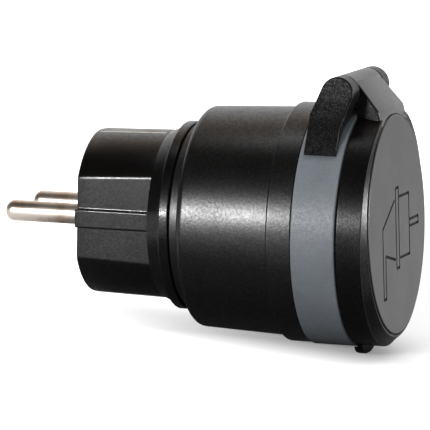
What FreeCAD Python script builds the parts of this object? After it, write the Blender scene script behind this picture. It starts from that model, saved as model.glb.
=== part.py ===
# Splash-proof remote control plug: an earthed plug at the back, a round housing with the
# receiver and the relay inside, and an earthed socket behind a sprung lid at the front.
#
# Frame, in millimetres: the origin is the middle of the plug's rear face, where the pins
# come out. +Y points into the wall socket, +Z up to the lid's hinge. "Depth" is -Y: it
# grows from the plug's face towards the lid.
import FreeCAD, Part
import math
import os

V = FreeCAD.Vector

# Plug, to the sizes of an earthed round-pin plug
pin_radius = 2.4
pin_length = 19.0
pin_tip_round = 2.0
pin_spacing = 19.0
plug_radius = 18.65
plug_draft = 0.4
plug_length = 17.5
plug_wall = 1.8
plug_flat_inset = 2.45
plug_rib_width = 4.2
plug_rib_inset = 0.65
cone_length = 3.3
cone_step = 1.85
flange_step = 0.9
flange_length = 2.3
spigot_step = 2.2

# Round housing, from the seal to the lid
seal_step = 0.4
seal_length = 2.6
drum_length = 21.5
collar_length = 5.85
ring_length = 10.0
ring_radius = 27.3
drum_wall = 2.0
drum_draft = 0.9
drum_edge_round = 2.2
collar_step = 1.1
ring_wall = 1.6

# Socket, to the sizes of an earthed socket
well_radius = 19.5
well_depth = 17.5
well_wall = 1.5
well_flat = 16.5
floor_thickness = 2.2
contact_hole_radius = 2.7
rim_height = 3.6
rim_wall = 1.3

# Lid and hinge
lid_step = 0.3
lid_wall = 1.8
lid_gap = 0.25
lid_face_depth = 7.0
lid_tilt = 2.7
lid_rim_start = 5.95
lid_rim_step = 0.15
lid_rim_width = 0.35
lid_disc_inset = 2.4
lid_disc_rise = 0.5
lid_disc_groove = 0.25
lid_disc_thickness = 0.9
lid_disc_proud = 0.3
gasket_height = 1.1
hinge_back = 3.2
hinge_rise = 3.4
knuckle_radius = 3.7
knuckle_half_width = 10.3
knuckle_gap = 0.45
web_top_inset = 0.3
web_half_width = 11.0
web_slope = 49.0
web_bend_round = 3.0
spring_room_length = 8.6
lid_spring_wire = 0.35
ear_head_radius = 3.7
ear_gap = 0.45
ear_head_face = 15.3
ear_foot_face = 21.7
ear_height = 13.2
ear_shoulder = 1.0
ear_back = 5.7
ear_front = 1.6
ear_edge_round = 0.35
ear_face_round = 26.0
ear_skin = 1.5
band_height = 0.75
hinge_pin_radius = 1.25
tab_half_width = 4.3
tab_reach = 2.0
tab_thickness = 1.7
tab_over_ring = 0.7

# Shutter, contacts and screws
shutter_thickness = 1.5
shutter_reach = 12.6
shutter_half_angle = 21.0
shutter_post_radius = 2.0
shutter_spring_radius = 3.15
shutter_spring_wire = 0.25
chamber_height = 2.1
chamber_radius = 16.6
carrier_thickness = 1.6
contact_bore = 2.45
contact_wall = 0.9
pocket_wall = 1.4
pin_strip_reach = 14.0
contact_leg_reach = 6.7
board_thickness = 1.6
strip_thickness = 0.8
strip_half_width = 2.2
pin_shank_step = 0.5
pin_seat_depth = 0.15
pin_head_step = 0.9
earth_strip_inset = 0.8
earth_strip_proud = 0.12
earth_strip_half_width = 3.6
earth_strip_ends = 1.0
earth_bar_half_width = 2.4
earth_bar_thickness = 0.6
earth_bar_inset = 0.7
earth_clip_half_width = 3.4
earth_clip_bow = 1.3
earth_clip_fold = 6.0
screw_radius = 1.5
screw_head_radius = 2.7
screw_head_height = 1.6
screw_boss_wall = 1.2
screw_tip = 9.0
screw_x = 13.0
screw_z = 9.0

# Parts on the boards: sizes are width and thickness, places are (x, z). The tall ones stop
# short of the contact carrier by their headroom.
solder_gap = 0.02
body_lift = 0.3
lead_radius = 0.4
relay_size = (19.0, 9.4)
relay_headroom = 0.75
relay_place = (0.0, 10.6)
relay_pins = (-7.5, -2.5, 2.5, 7.5)
film_size = (15.0, 6.7)
film_headroom = 2.35
film_place = (-1.5, -9.55)
film_pitch = 11.0
can_radius = 3.9
can_headroom = 2.13
can_place = (-7.8, -17.4)
rectifier_size = (6.6, 3.2)
rectifier_height = 7.0
rectifier_place = (7.9, -17.0)
varistor_radius = 4.4
varistor_thickness = 3.4
varistor_place = (14.7, 10.6)
chip_size = (0.9, 0.8)
chip_height = 0.58
chip_place = (16.65, 6.9)
diode_size = (2.8, 1.4)
diode_height = 1.08
diode_place = (-19.0, 2.3)
receiver_half_width = 9.0
receiver_z = 8.6
receiver_thickness = 1.2
antenna_radius = 1.8
antenna_wire = 0.35
antenna_pitch = 1.17
antenna_turns = 5

# Clearances
slide_gap = 0.05
pin_gap = 0.02
hinge_gap = 0.06
fit_gap = 0.1
free_gap = 0.3

# Stations along the depth
cone_start = plug_length
flange_start = cone_start + cone_length
seal_start = flange_start + flange_length
drum_start = seal_start + seal_length + fit_gap
collar_start = drum_start + drum_length
ring_start = collar_start + collar_length
ring_end = ring_start + ring_length
rim_depth = ring_end + rim_height
floor_depth = rim_depth - well_depth
floor_back = floor_depth - floor_thickness
carrier_front = floor_back - chamber_height
carrier_back = carrier_front - carrier_thickness
board_back = drum_start + drum_wall + free_gap
board_front = board_back + board_thickness
parts_room = carrier_back - board_front
skirt_start = ring_end + lid_gap
face_depth = ring_end + lid_face_depth
gasket_depth = rim_depth + 0.15
lid_ceiling = gasket_depth + gasket_height

# Radii and places that follow from them
pin_x = pin_spacing / 2
plug_flat = plug_radius - plug_flat_inset
plug_rib_reach = plug_radius - plug_rib_inset
cone_radius = plug_radius + cone_step
flange_radius = cone_radius + flange_step
spigot_radius = flange_radius - spigot_step
seal_radius = flange_radius - seal_step
collar_radius = ring_radius - 0.3
drum_front_radius = collar_radius - collar_step
drum_rear_radius = drum_front_radius - drum_draft
drum_bore = drum_rear_radius - drum_wall
ring_bore = ring_radius - ring_wall - 1.1
spring_room = knuckle_radius - 0.6
insert_radius = ring_bore - slide_gap
counterbore = ring_bore + ring_wall - 0.5
plug_bore = plug_radius - plug_wall
plug_flat_bore = plug_flat - plug_wall
hinge_depth = ring_end - hinge_back
hinge_z = ring_radius + hinge_rise
ear_foot_z = hinge_z - ear_height
lid_radius = ring_radius - lid_step
lid_bore = lid_radius - lid_wall
lid_disc_radius = lid_radius - lid_disc_inset
pocket_bore = contact_bore + contact_wall + fit_gap
screw_places = [(-screw_x, screw_z), (screw_x, -screw_z)]
screw_seat = floor_depth - screw_head_height - 0.2
earth_bar_z = plug_bore - earth_bar_inset
earth_clip_tail = carrier_front + 0.9


def place_side(x):
    return lambda p: V(x, -p.x, p.y)


def place_front(depth):
    return lambda p: V(p.x, -depth, p.y)


def place_top(z):
    return lambda p: V(p.x, -p.y, z)


def outline(points, place):
    # A closed face. A third value on a point rounds that corner with a tangent arc.
    corners = []
    for i, point in enumerate(points):
        before, after = points[i - 1], points[(i + 1) % len(points)]
        corner = V(point[0], point[1], 0)
        if len(point) < 3:
            corners.append((corner, None, corner))
            continue
        one = (V(before[0], before[1], 0) - corner).normalize()
        two = (V(after[0], after[1], 0) - corner).normalize()
        half = one.getAngle(two) / 2
        reach = point[2] / math.tan(half)
        inward = (one + two).normalize() * (point[2] / math.sin(half) - point[2])
        corners.append((corner + one * reach, corner + inward, corner + two * reach))
    edges = []
    for i, (start, middle, end) in enumerate(corners):
        if middle is not None:
            edges.append(Part.Arc(place(start), place(middle), place(end)).toShape())
        following = corners[(i + 1) % len(corners)][0]
        if (following - end).Length > 1e-6:
            edges.append(Part.LineSegment(place(end), place(following)).toShape())
    return Part.Face(Part.Wire(edges))


def turned(points):
    # A solid of revolution about the plug's axis, from (depth, radius) points.
    return outline(points, place_side(0)).revolve(V(0, 0, 0), V(0, 1, 0), 360)


def side_plate(points, x0, x1):
    # (depth, z) points, carried from x0 to x1.
    return outline(points, place_side(x0)).extrude(V(x1 - x0, 0, 0))


def front_plate(points, depth0, depth1):
    # (x, z) points, carried from one depth to another.
    return outline(points, place_front(depth0)).extrude(V(0, depth0 - depth1, 0))


def top_plate(points, z0, z1):
    # (x, depth) points, carried from z0 up to z1.
    return outline(points, place_top(z0)).extrude(V(0, 0, z1 - z0))


def rod(x, z, depth0, depth1, radius):
    return Part.makeCylinder(radius, depth1 - depth0, V(x, -depth0, z), V(0, -1, 0))


def cross_rod(depth, z, x0, x1, radius):
    return Part.makeCylinder(radius, x1 - x0, V(x0, -depth, z), V(1, 0, 0))


def tube(depth0, depth1, outer, inner):
    return rod(0, 0, depth0, depth1, outer).cut(rod(0, 0, depth0 - 1, depth1 + 1, inner))


def block(x0, x1, depth0, depth1, z0, z1):
    return Part.makeBox(x1 - x0, depth1 - depth0, z1 - z0, V(x0, -depth1, z0))


def bent_strip(path, thickness, x0, x1):
    # A flat strip that follows (depth, z) points along its middle, with mitred bends.
    left, right = [], []
    for i, point in enumerate(path):
        here = V(point[0], point[1], 0)
        ways = []
        if i > 0:
            ways.append((here - V(path[i - 1][0], path[i - 1][1], 0)).normalize())
        if i < len(path) - 1:
            ways.append((V(path[i + 1][0], path[i + 1][1], 0) - here).normalize())
        mean = (ways[0] + ways[-1]).normalize()
        across = V(-mean.y, mean.x, 0)
        lean = thickness / 2 / (mean * ways[0])
        left.append(here + across * lean)
        right.append(here - across * lean)
    return side_plate([(p.x, p.y) for p in left + right[::-1]], x0, x1)


def both_sides(shape):
    # The shape and its mirror image left to right.
    return [shape, shape.mirror(V(0, 0, 0), V(1, 0, 0))]


def flipped(shape):
    # The shape mirrored top to bottom.
    return shape.mirror(V(0, 0, 0), V(0, 0, 1))


def coil(centre, along, first, second, radius, wire, pitch, turns, legs):
    # A wound spring or coil as one round wire. Each half turn is a pair of tangent arcs,
    # and a straight leg leaves each end along the wire's own direction.
    def point(angle):
        spread = first * math.cos(angle) + second * math.sin(angle)
        return centre + along * (pitch * angle / (2 * math.pi)) + spread * radius

    def heading(angle):
        spread = second * math.cos(angle) - first * math.sin(angle)
        return (spread * radius + along * (pitch / (2 * math.pi))).normalize()

    def arc(start, corner, end):
        middle = (start + end) * 0.5
        up = corner - middle
        turn = 2 * math.atan2(up.Length, (end - start).Length / 2)
        sagitta = (end - start).Length / 2 * math.tan(turn / 4)
        return Part.Arc(start, middle + up.normalize() * sagitta, end).toShape()

    steps = int(round(turns * 4))
    edges = [Part.LineSegment(point(0) - heading(0) * legs[0], point(0)).toShape()]
    for i in range(steps):
        a, b = i * math.pi / 2, (i + 1) * math.pi / 2
        start, end, go, come = point(a), point(b), heading(a), heading(b)
        chord = end - start
        p = 2 * (1 - go * come)
        q = 2 * (chord * (go + come))
        reach = (-q + math.sqrt(q * q + 4 * p * (chord * chord))) / (2 * p)
        one, two = start + go * reach, end - come * reach
        join = (one + two) * 0.5
        edges.append(arc(start, one, join))
        edges.append(arc(join, two, end))
    last = point(steps * math.pi / 2)
    leave = heading(steps * math.pi / 2)
    edges.append(Part.LineSegment(last, last + leave * legs[1]).toShape())
    places = [point(math.pi * i / 12) for i in range(24 * turns + 1)]
    least = min((b - a).Length for i, a in enumerate(places) for b in places[i + 18:])
    print(f"coil: {turns} turns, least gap to itself {least - 2 * wire:.2f} mm")
    section = Part.makeCircle(wire, point(0) - heading(0) * legs[0], heading(0))
    pipe = Part.BRepOffsetAPI.MakePipeShell(Part.Wire(edges))
    pipe.add(Part.Wire([section]))
    pipe.build()
    pipe.makeSolid()
    return pipe.shape()


def rear_housing():
    # The plug's body: a slightly tapered cup with a flat and a rib on each side, a cone,
    # a flange that squeezes the seal, and a spigot that enters the drum.
    end = board_back - fit_gap
    shell = turned([
        (0, 0), (0, plug_radius, 0.5), (cone_start, plug_radius + plug_draft),
        (flange_start, cone_radius, 0.8), (flange_start, flange_radius, 0.3),
        (seal_start, flange_radius, 0.3), (seal_start, spigot_radius),
        (end, spigot_radius), (end, 0)])
    room = rod(0, 0, plug_wall, end + 1, plug_bore)
    for side in both_sides(block(plug_flat, ring_radius, -1, cone_start, -ring_radius, ring_radius)):
        shell = shell.cut(side)
    for side in both_sides(block(plug_flat_bore, ring_radius, -1, cone_start,
                                 -ring_radius, ring_radius)):
        room = room.cut(side)
    shell = shell.cut(room)
    rib = top_plate([
        (plug_flat - 0.8, 0.0), (plug_rib_reach, 0.0, 0.7), (plug_rib_reach, cone_start + 0.4),
        (plug_flat - 0.8, cone_start + 0.4)], -plug_rib_width / 2, plug_rib_width / 2)
    for side in both_sides(rib):
        shell = shell.fuse(side)
    for x, z in screw_places:
        boss = rod(x, z, plug_wall, end, screw_radius + screw_boss_wall)
        shell = shell.fuse(boss.common(rod(0, 0, 0, end, plug_bore + 0.5)))
        shell = shell.cut(rod(x, z, plug_wall + screw_tip - 1, end + 1, screw_radius + pin_gap))
    for x in (-pin_x, pin_x):
        shell = shell.cut(rod(x, 0, -1, pin_seat_depth + pin_gap, pin_radius + pin_gap))
        shell = shell.cut(rod(x, 0, -1, plug_wall + 1, pin_radius - pin_shank_step + pin_gap))
    for strip in (earth_strip(fit_gap / 2), flipped(earth_strip(fit_gap / 2))):
        shell = shell.cut(strip)
    return shell.removeSplitter()


def plug_pin(x):
    # Solid round pin with a rounded tip. Just inside the moulded face it steps down to a
    # shank, which ends in a head that carries the supply strip.
    profile = outline([
        (pin_seat_depth, 0), (pin_seat_depth, pin_radius), (-pin_length, pin_radius, pin_tip_round),
        (-pin_length, 0)], place_side(0))
    pin = profile.revolve(V(0, 0, 0), V(0, 1, 0), 360)
    under_head = plug_wall + strip_thickness
    shank = rod(0, 0, 0, under_head + pin_head_step, pin_radius - pin_shank_step)
    head = rod(0, 0, under_head, under_head + pin_head_step, pin_radius + pin_head_step)
    solid = pin.fuse(shank).fuse(head).removeSplitter()
    solid.translate(V(x, 0, 0))
    return solid


def pin_strip():
    # Brass strip from the right-hand pin out to the side and forward into the circuit board.
    reach = pin_strip_reach
    front = plug_wall + strip_thickness
    eye = rod(pin_x, 0, plug_wall, front, pin_radius + 1.4)
    foot = block(pin_x, reach, plug_wall, front, -strip_half_width, strip_half_width)
    rail = block(reach - strip_thickness, reach, plug_wall, board_front + 0.8,
                 -strip_half_width, strip_half_width)
    hole = rod(pin_x, 0, 0, front + 1, pin_radius - pin_shank_step + pin_gap)
    return eye.fuse(foot).fuse(rail).cut(hole).removeSplitter()


def earth_strip(grow=0.0):
    # Bare strip in the top of the plug, a little proud of it, with a foot through the wall.
    start, end = earth_strip_ends, plug_length - 0.6
    under, proud = plug_radius - earth_strip_inset, plug_radius + earth_strip_proud
    ring = turned([
        (start - grow, under - grow), (start - grow, proud, 0.3),
        (end + grow, proud + plug_draft, 0.3), (end + grow, under + plug_draft - grow)])
    half, foot_half = earth_strip_half_width + grow, earth_bar_half_width + grow
    strip = ring.common(block(-half, half, start - 1, end + 1, 0, ring_radius))
    foot = block(-foot_half, foot_half, end - 2.4 - grow, end - 1.2 + grow,
                 earth_bar_z + earth_bar_thickness / 2, under + 0.4)
    return strip.fuse(foot).removeSplitter()


def earth_bar():
    # Flat bar that carries the earth from the plug's strip to the socket's clip.
    half = earth_bar_thickness / 2
    return block(-earth_bar_half_width, earth_bar_half_width, plug_length - 4.2,
                 earth_clip_tail - strip_thickness / 2, earth_bar_z - half, earth_bar_z + half)


def earth_clip():
    # Springy clip: it lies behind the socket's wall, folds over and bows into the well.
    back = well_radius + well_wall + 0.8
    turn = rim_depth - earth_clip_fold
    path = [
        (earth_clip_tail, earth_bar_z - 0.5), (earth_clip_tail, back), (turn, back),
        (turn + 1.4, back - 1.2), (turn + 0.4, back - 2.2), (turn - 5.2, well_radius - earth_clip_bow),
        (turn - 9.5, well_radius + 0.3)]
    return bent_strip(path, strip_thickness - 0.1, -earth_clip_half_width, earth_clip_half_width)


def housing_seal():
    return turned([
        (seal_start + 0.05, spigot_radius + 0.05), (seal_start + 0.05, seal_radius, 0.7),
        (drum_start - 0.05, seal_radius, 0.7), (drum_start - 0.05, spigot_radius + 0.05)])


def drum_housing():
    # Tapered drum with a rounded rear edge, open to the plug's spigot, and a thicker collar
    # at the front that takes the grey ring.
    lip_round = min(1.0, 0.4 * (drum_bore - spigot_radius - fit_gap))
    return turned([
        (drum_start, spigot_radius + fit_gap), (drum_start, drum_rear_radius, drum_edge_round),
        (collar_start, drum_front_radius, 0.4), (collar_start, collar_radius, 0.9),
        (ring_start, collar_radius, 0.25), (ring_start, counterbore),
        (collar_start + 1.4, counterbore), (collar_start + 1.4, drum_bore),
        (drum_start + drum_wall, drum_bore, lip_round),
        (drum_start + drum_wall, spigot_radius + fit_gap)])


def front_ring():
    # The grey ring: it plugs into the collar and carries the hinge bracket. A shallow relief
    # at the top leaves room for the lid's knuckle.
    ring = turned([
        (ring_start + 0.05, ring_radius, 0.3), (ring_end, ring_radius, 0.3), (ring_end, ring_bore),
        (collar_start + 1.5, ring_bore), (collar_start + 1.5, counterbore - slide_gap),
        (ring_start + 0.05, counterbore - slide_gap)])
    half = knuckle_half_width + ear_gap
    return ring.cut(cross_rod(hinge_depth, hinge_z, -half, half, knuckle_radius + knuckle_gap))


def ear_profile():
    # Side view of an ear: a straight back, a round head and a slanting front.
    back, front = hinge_depth - ear_back, hinge_depth + ear_front
    foot = ring_radius * 0.5

    def head(degrees):
        a = math.radians(degrees)
        return V(0, -hinge_depth - ear_head_radius * math.cos(a), hinge_z + ear_head_radius * math.sin(a))

    corners = [head(-12), V(0, -front, hinge_z - 7.6), V(0, -front, foot), V(0, -back, foot),
               V(0, -back, hinge_z - 4.6), head(158)]
    sides = [Part.LineSegment(a, b).toShape() for a, b in zip(corners, corners[1:])]
    return Part.Face(Part.Wire(sides + [Part.Arc(head(158), head(73), head(-12)).toShape()]))


def on_outer_face(edge):
    # True for the edges round an ear's outer face, apart from those that run along the depth.
    ends = [edge.valueAt(edge.FirstParameter), edge.valueAt(edge.LastParameter)]
    middle = edge.valueAt((edge.FirstParameter + edge.LastParameter) / 2)
    lean = (ear_foot_face - ear_head_face) / (hinge_z - ear_shoulder - ear_foot_z)
    face = ear_head_face + max(0.0, hinge_z - ear_shoulder - middle.z) * lean
    return abs(middle.x - face) < 0.8 and abs(ends[0].z - ends[1].z) > 0.01


def hinge_bracket():
    # Two ears joined by a low band behind the knuckle, all seated on the grey ring. The
    # outer faces lean out from the head to the foot.
    inner = knuckle_half_width + ear_gap
    face = ear_profile()
    face.translate(V(inner, 0, 0))
    blank = face.extrude(V(ring_radius - inner, 0, 0))
    above = hinge_z + 9
    lean = front_plate([
        (0, above), (ear_head_face, above), (ear_head_face, hinge_z - ear_shoulder, ear_face_round),
        (ear_foot_face, ear_foot_z), (0, ear_foot_z)], hinge_depth - 12, hinge_depth + 12)
    ear = blank.common(lean)
    ear = ear.makeFillet(ear_edge_round, [e for e in ear.Edges if on_outer_face(e)])
    back, front = hinge_depth - ear_back, hinge_depth - knuckle_radius - 0.5
    band = turned([
        (back, ring_radius), (back, ring_radius + band_height, 0.3),
        (front, ring_radius + band_height, 0.3), (front, ring_radius)])
    band = band.common(block(-inner - 1, inner + 1, hinge_depth - 9, hinge_depth, 0, hinge_z))
    ring = rod(0, 0, ring_start, ring_end + 3, ring_radius + slide_gap)
    ears = both_sides(ear.cut(ring))
    bracket = ears[0].fuse(ears[1]).fuse(band.cut(ring))
    bore = cross_rod(hinge_depth, hinge_z, ear_skin - ear_head_face, ring_radius,
                     hinge_pin_radius + pin_gap)
    return bracket.cut(bore).removeSplitter()


def hinge_pin():
    return cross_rod(hinge_depth, hinge_z, ear_skin + fit_gap - ear_head_face,
                     ear_head_face - 0.5, hinge_pin_radius)


def socket_insert():
    # The cup that takes the other plug: a well with a flat floor and a guide block on each
    # side, and a window for each earth clip.
    cup = turned([
        (floor_back, 0), (floor_depth, 0), (floor_depth, well_radius), (rim_depth, well_radius, 0.5),
        (rim_depth, well_radius + well_wall), (floor_back, well_radius + well_wall)])
    guide = front_plate([
        (well_flat, -9.2), (well_flat, -2.4), (well_flat + 1.8, -2.4), (well_flat + 1.8, 2.4),
        (well_flat, 2.4), (well_flat, 9.2), (well_radius + 0.5, 9.2), (well_radius + 0.5, -9.2)],
        floor_depth, rim_depth - 1.2)
    guide = guide.common(rod(0, 0, floor_back, rim_depth, well_radius + 0.6))
    for side in both_sides(guide):
        cup = cup.fuse(side)
    for x, z in screw_places:
        cup = cup.fuse(rod(x, z, screw_seat - 1.4, screw_seat, screw_head_radius + 1.0))
        cup = cup.cut(rod(x, z, screw_seat, floor_depth + 1, screw_head_radius + fit_gap))
        cup = cup.cut(rod(x, z, board_front - 1, floor_depth + 1, screw_radius + fit_gap))
    for x in (-pin_x, pin_x):
        cup = cup.cut(rod(x, 0, floor_back - 1, floor_depth + 1, contact_hole_radius))
    half = earth_clip_half_width + 0.6
    window = block(-half, half, rim_depth - 16.6, rim_depth - 3.4, well_radius - 4, well_radius + 2.3)
    return cup.cut(window).cut(flipped(window)).removeSplitter()


def socket_rim():
    # Ring between the well and the grey ring. Its top meets the lid's gasket, and its outer
    # wall goes down to the drum's shoulder.
    inner, step = well_radius + well_wall + slide_gap, rim_depth - 1.6
    foot = collar_start + 1.5
    return turned([
        (step, inner), (rim_depth, inner), (rim_depth, insert_radius, 0.5), (foot, insert_radius),
        (foot, insert_radius - rim_wall), (step, insert_radius - rim_wall)])


def shutter():
    # Turning shutter: a wing lies in front of each contact. A pin that meets both ramps
    # turns it clear, and the spring brings it back.
    back = carrier_front + (chamber_height - shutter_thickness) / 2
    front = back + shutter_thickness
    wing = math.radians(shutter_half_angle)
    hub = shutter_post_radius + 2.4
    span, rise = 1.2 * shutter_reach * math.cos(wing), 1.2 * shutter_reach * math.sin(wing)
    sector = front_plate([(0, 0), (span, -rise), (span, rise)], back, front)
    sector = sector.common(rod(0, 0, back - 1, front + 1, shutter_reach))
    ramp = front_plate([(0, 0), (shutter_reach + 2, 0), (shutter_reach + 2, 3), (0, 3)],
                       front, front + 3)
    ramp.rotate(V(0, -front, 0), V(1, 0, 0), 24)
    ramp.rotate(V(0, 0, 0), V(0, 1, 0), shutter_half_angle - 9)
    one = sector.cut(ramp)
    other = one.copy()
    other.rotate(V(0, 0, 0), V(0, 1, 0), 180)
    plate = rod(0, 0, back, front, hub).fuse(one).fuse(other)
    return plate.cut(rod(0, 0, back - 1, front + 1, shutter_post_radius + slide_gap)).removeSplitter()


def contact_carrier():
    # Moulded plate behind the shutter, with a wall round the shutter's chamber, a pocket for
    # each contact, a post for each screw and the shutter's own post.
    plate = rod(0, 0, carrier_back, carrier_front, chamber_radius + 1.4)
    plate = plate.fuse(tube(carrier_front, floor_back - 0.05, chamber_radius + 1.4, chamber_radius))
    for x in (-pin_x, pin_x):
        plate = plate.fuse(rod(x, 0, board_front + 0.1, carrier_back, pocket_bore + pocket_wall))
    web = block(-pin_x, pin_x, board_front + 3, carrier_back, -1.2, 1.2)
    boss = rod(0, 0, carrier_back - 2.2, carrier_back, 5.4)
    plate = plate.fuse(web).fuse(boss)
    for x in (-pin_x, pin_x):
        plate = plate.cut(rod(x, 0, board_front, carrier_front - 0.6, pocket_bore))
        plate = plate.cut(rod(x, 0, board_front, carrier_front + 1, contact_hole_radius + 0.2))
        side = math.copysign(contact_leg_reach + 0.5, x)
        slot = block(min(x, x + side), max(x, x + side), board_front, board_front + 4.2, -2.3, 2.3)
        plate = plate.cut(slot)
    plate = plate.cut(tube(carrier_front - 2.6, carrier_front + 1, 4.3, shutter_post_radius))
    plate = plate.fuse(rod(0, 0, carrier_front - 2.6, floor_back - 0.05, shutter_post_radius))
    for x, z in screw_places:
        plate = plate.cut(rod(x, z, screw_seat - 1.45, floor_back, screw_head_radius + 1.0 + fit_gap))
        plate = plate.fuse(rod(x, z, board_front + 0.05, screw_seat - 1.45, screw_radius + screw_boss_wall))
        plate = plate.cut(rod(x, z, board_front, floor_back, screw_radius + fit_gap))
    half = earth_clip_half_width + 0.6
    notch = block(-3.0, 3.0, board_front, carrier_front + 1, earth_bar_z - 0.6, ring_radius)
    gate = block(-half, half, carrier_front, floor_back, earth_bar_z - 1.9, ring_radius)
    for cutter in (notch, gate):
        plate = plate.cut(cutter).cut(flipped(cutter))
    return plate.removeSplitter()


def socket_contact():
    # Split brass sleeve for the right-hand pin, with a tab down into the circuit board.
    end = carrier_front - 0.7
    sleeve = rod(pin_x, 0, board_front + 0.9, end, contact_bore + contact_wall)
    outer = pin_x + contact_leg_reach
    tab = block(pin_x + contact_bore, outer, board_front + 0.9,
                board_front + 0.9 + strip_thickness, -1.8, 1.8)
    leg = block(outer - strip_thickness, outer, board_back + 0.2,
                board_front + 0.9 + strip_thickness, -1.8, 1.8)
    solid = sleeve.fuse(tab).fuse(leg)
    solid = solid.cut(rod(pin_x, 0, board_front, end + 1, contact_bore))
    slit = block(pin_x - 6, pin_x, board_front + 5, end + 1, -0.4, 0.4)
    return solid.cut(slit).removeSplitter()


def circuit_board():
    board = rod(0, 0, board_back, board_front, drum_bore - free_gap - 0.9)
    for x, z in screw_places:
        board = board.cut(rod(x, z, board_back - 1, board_front + 1, screw_radius + fit_gap))
    notch = block(-3.0, 3.0, board_back - 1, board_front + 1, earth_bar_z - 0.7, drum_bore)
    board = board.cut(notch).cut(flipped(notch))
    for side in both_sides(block(pin_strip_reach - strip_thickness - fit_gap,
                                 pin_strip_reach + fit_gap, board_back - 1,
                                 board_front + 1, -2.3, 2.3)):
        board = board.cut(side)
    leg = pin_x + contact_leg_reach - strip_thickness
    for side in both_sides(block(leg - fit_gap, leg + strip_thickness + fit_gap, board_back - 1,
                                 board_front + 1, -1.9, 1.9)):
        board = board.cut(side)
    return board


def standing(size, height, place, lift, rounding=0.0):
    # A box on the board's front, its long edges rounded off.
    (width, thickness), (x, z) = size, place
    foot = board_front + lift
    body = block(x - width / 2, x + width / 2, foot, foot + height, z - thickness / 2, z + thickness / 2)
    if rounding:
        body = body.makeFillet(rounding, [e for e in body.Edges if e.Length > 0.8 * height])
    return body


def leads(places, height):
    return [rod(x, z, board_front + solder_gap, board_front + height, lead_radius) for x, z in places]


def relay():
    body = standing(relay_size, parts_room - body_lift - relay_headroom, relay_place, body_lift, 0.5)
    return body.multiFuse(leads([(x, relay_place[1]) for x in relay_pins], body_lift + 0.3))


def film_capacitor():
    body = standing(film_size, parts_room - body_lift - film_headroom, film_place, body_lift, 0.6)
    x, z = film_place
    return body.multiFuse(leads([(x - film_pitch / 2, z), (x + film_pitch / 2, z)], body_lift + 0.3))


def electrolytic_capacitor():
    # Can with a rolled groove near the board.
    foot, top = board_front + solder_gap, carrier_back - can_headroom
    can = outline([
        (foot, 0), (foot, can_radius), (foot + 1.6, can_radius), (foot + 2.0, can_radius - 0.4),
        (foot + 2.4, can_radius), (top, can_radius, 0.5), (top, 0)], place_side(0))
    can = can.revolve(V(0, 0, 0), V(0, 1, 0), 360)
    can.translate(V(can_place[0], 0, can_place[1]))
    return can


def bridge_rectifier():
    return standing(rectifier_size, rectifier_height, rectifier_place, solder_gap, 0.4)


def varistor():
    x, z = varistor_place
    half = varistor_thickness / 2
    disc = cross_rod(board_front + varistor_radius + 1, z, x - half, x + half, varistor_radius)
    disc = disc.makeFillet(varistor_thickness / 3, [e for e in disc.Edges if e.Closed])
    return disc.multiFuse(leads([(x, z - 2.2), (x, z + 2.2)], 3.0))


def surface_parts():
    # Two staggered rows of chip parts, and two diodes on the other side.
    parts = []
    for side in (-1, 1):
        for i in range(4):
            place = (chip_place[0] + 1.3 * (i % 2), side * (chip_place[1] - 1.1 * i))
            parts.append(standing(chip_size, chip_height, place, solder_gap))
        place = (diode_place[0], side * diode_place[1])
        parts.append(standing(diode_size, diode_height, place, solder_gap))
    return Part.makeCompound(parts)


def receiver_board():
    # Small radio board that stands behind the main one, inside the plug.
    return block(-receiver_half_width, receiver_half_width, plug_wall + 8.0,
                 board_back - solder_gap, receiver_z, receiver_z + receiver_thickness)


def receiver_chips():
    # Decoder, oscillator and radio module, each with its own footprint from the board's edge.
    seat = receiver_z + receiver_thickness + solder_gap
    return Part.makeCompound([
        block(-6.0, -1.0, board_back - 9.0, board_back - 4.0, seat, seat + 1.1),
        block(2.4, 5.4, board_back - 6.0, board_back - 3.2, seat, seat + 0.9),
        block(-4.6, 1.4, board_back - 13.6, board_back - 10.6, seat, seat + 1.6)])


def antenna_coil():
    # Air-wound copper coil over the radio board's rear edge.
    lift = receiver_z + receiver_thickness + antenna_radius + antenna_wire + 0.05
    return coil(V(3.2, -(board_back - 13.6), lift), V(1, 0, 0), V(0, 0, -1), V(0, 1, 0),
                antenna_radius, antenna_wire, antenna_pitch, antenna_turns, (0.3, 0.3))


def long_screws():
    screws = []
    top = floor_depth - 0.25
    for x, z in screw_places:
        head = rod(x, z, screw_seat, top, screw_head_radius)
        shank = rod(x, z, plug_wall + screw_tip, top, screw_radius)
        cross = block(x - 1.5, x + 1.5, top - 1, top + 1, z - 0.3, z + 0.3).fuse(
            block(x - 0.3, x + 0.3, top - 1, top + 1, z - 1.5, z + 1.5))
        screws.append(head.fuse(shank).cut(cross).removeSplitter())
    return Part.makeCompound(screws)


def tilt(shape):
    # The lid's front leans: its top is nearer the plug than its bottom.
    shape.rotate(V(0, -face_depth, 0), V(1, 0, 0), -lid_tilt)
    return shape


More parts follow.
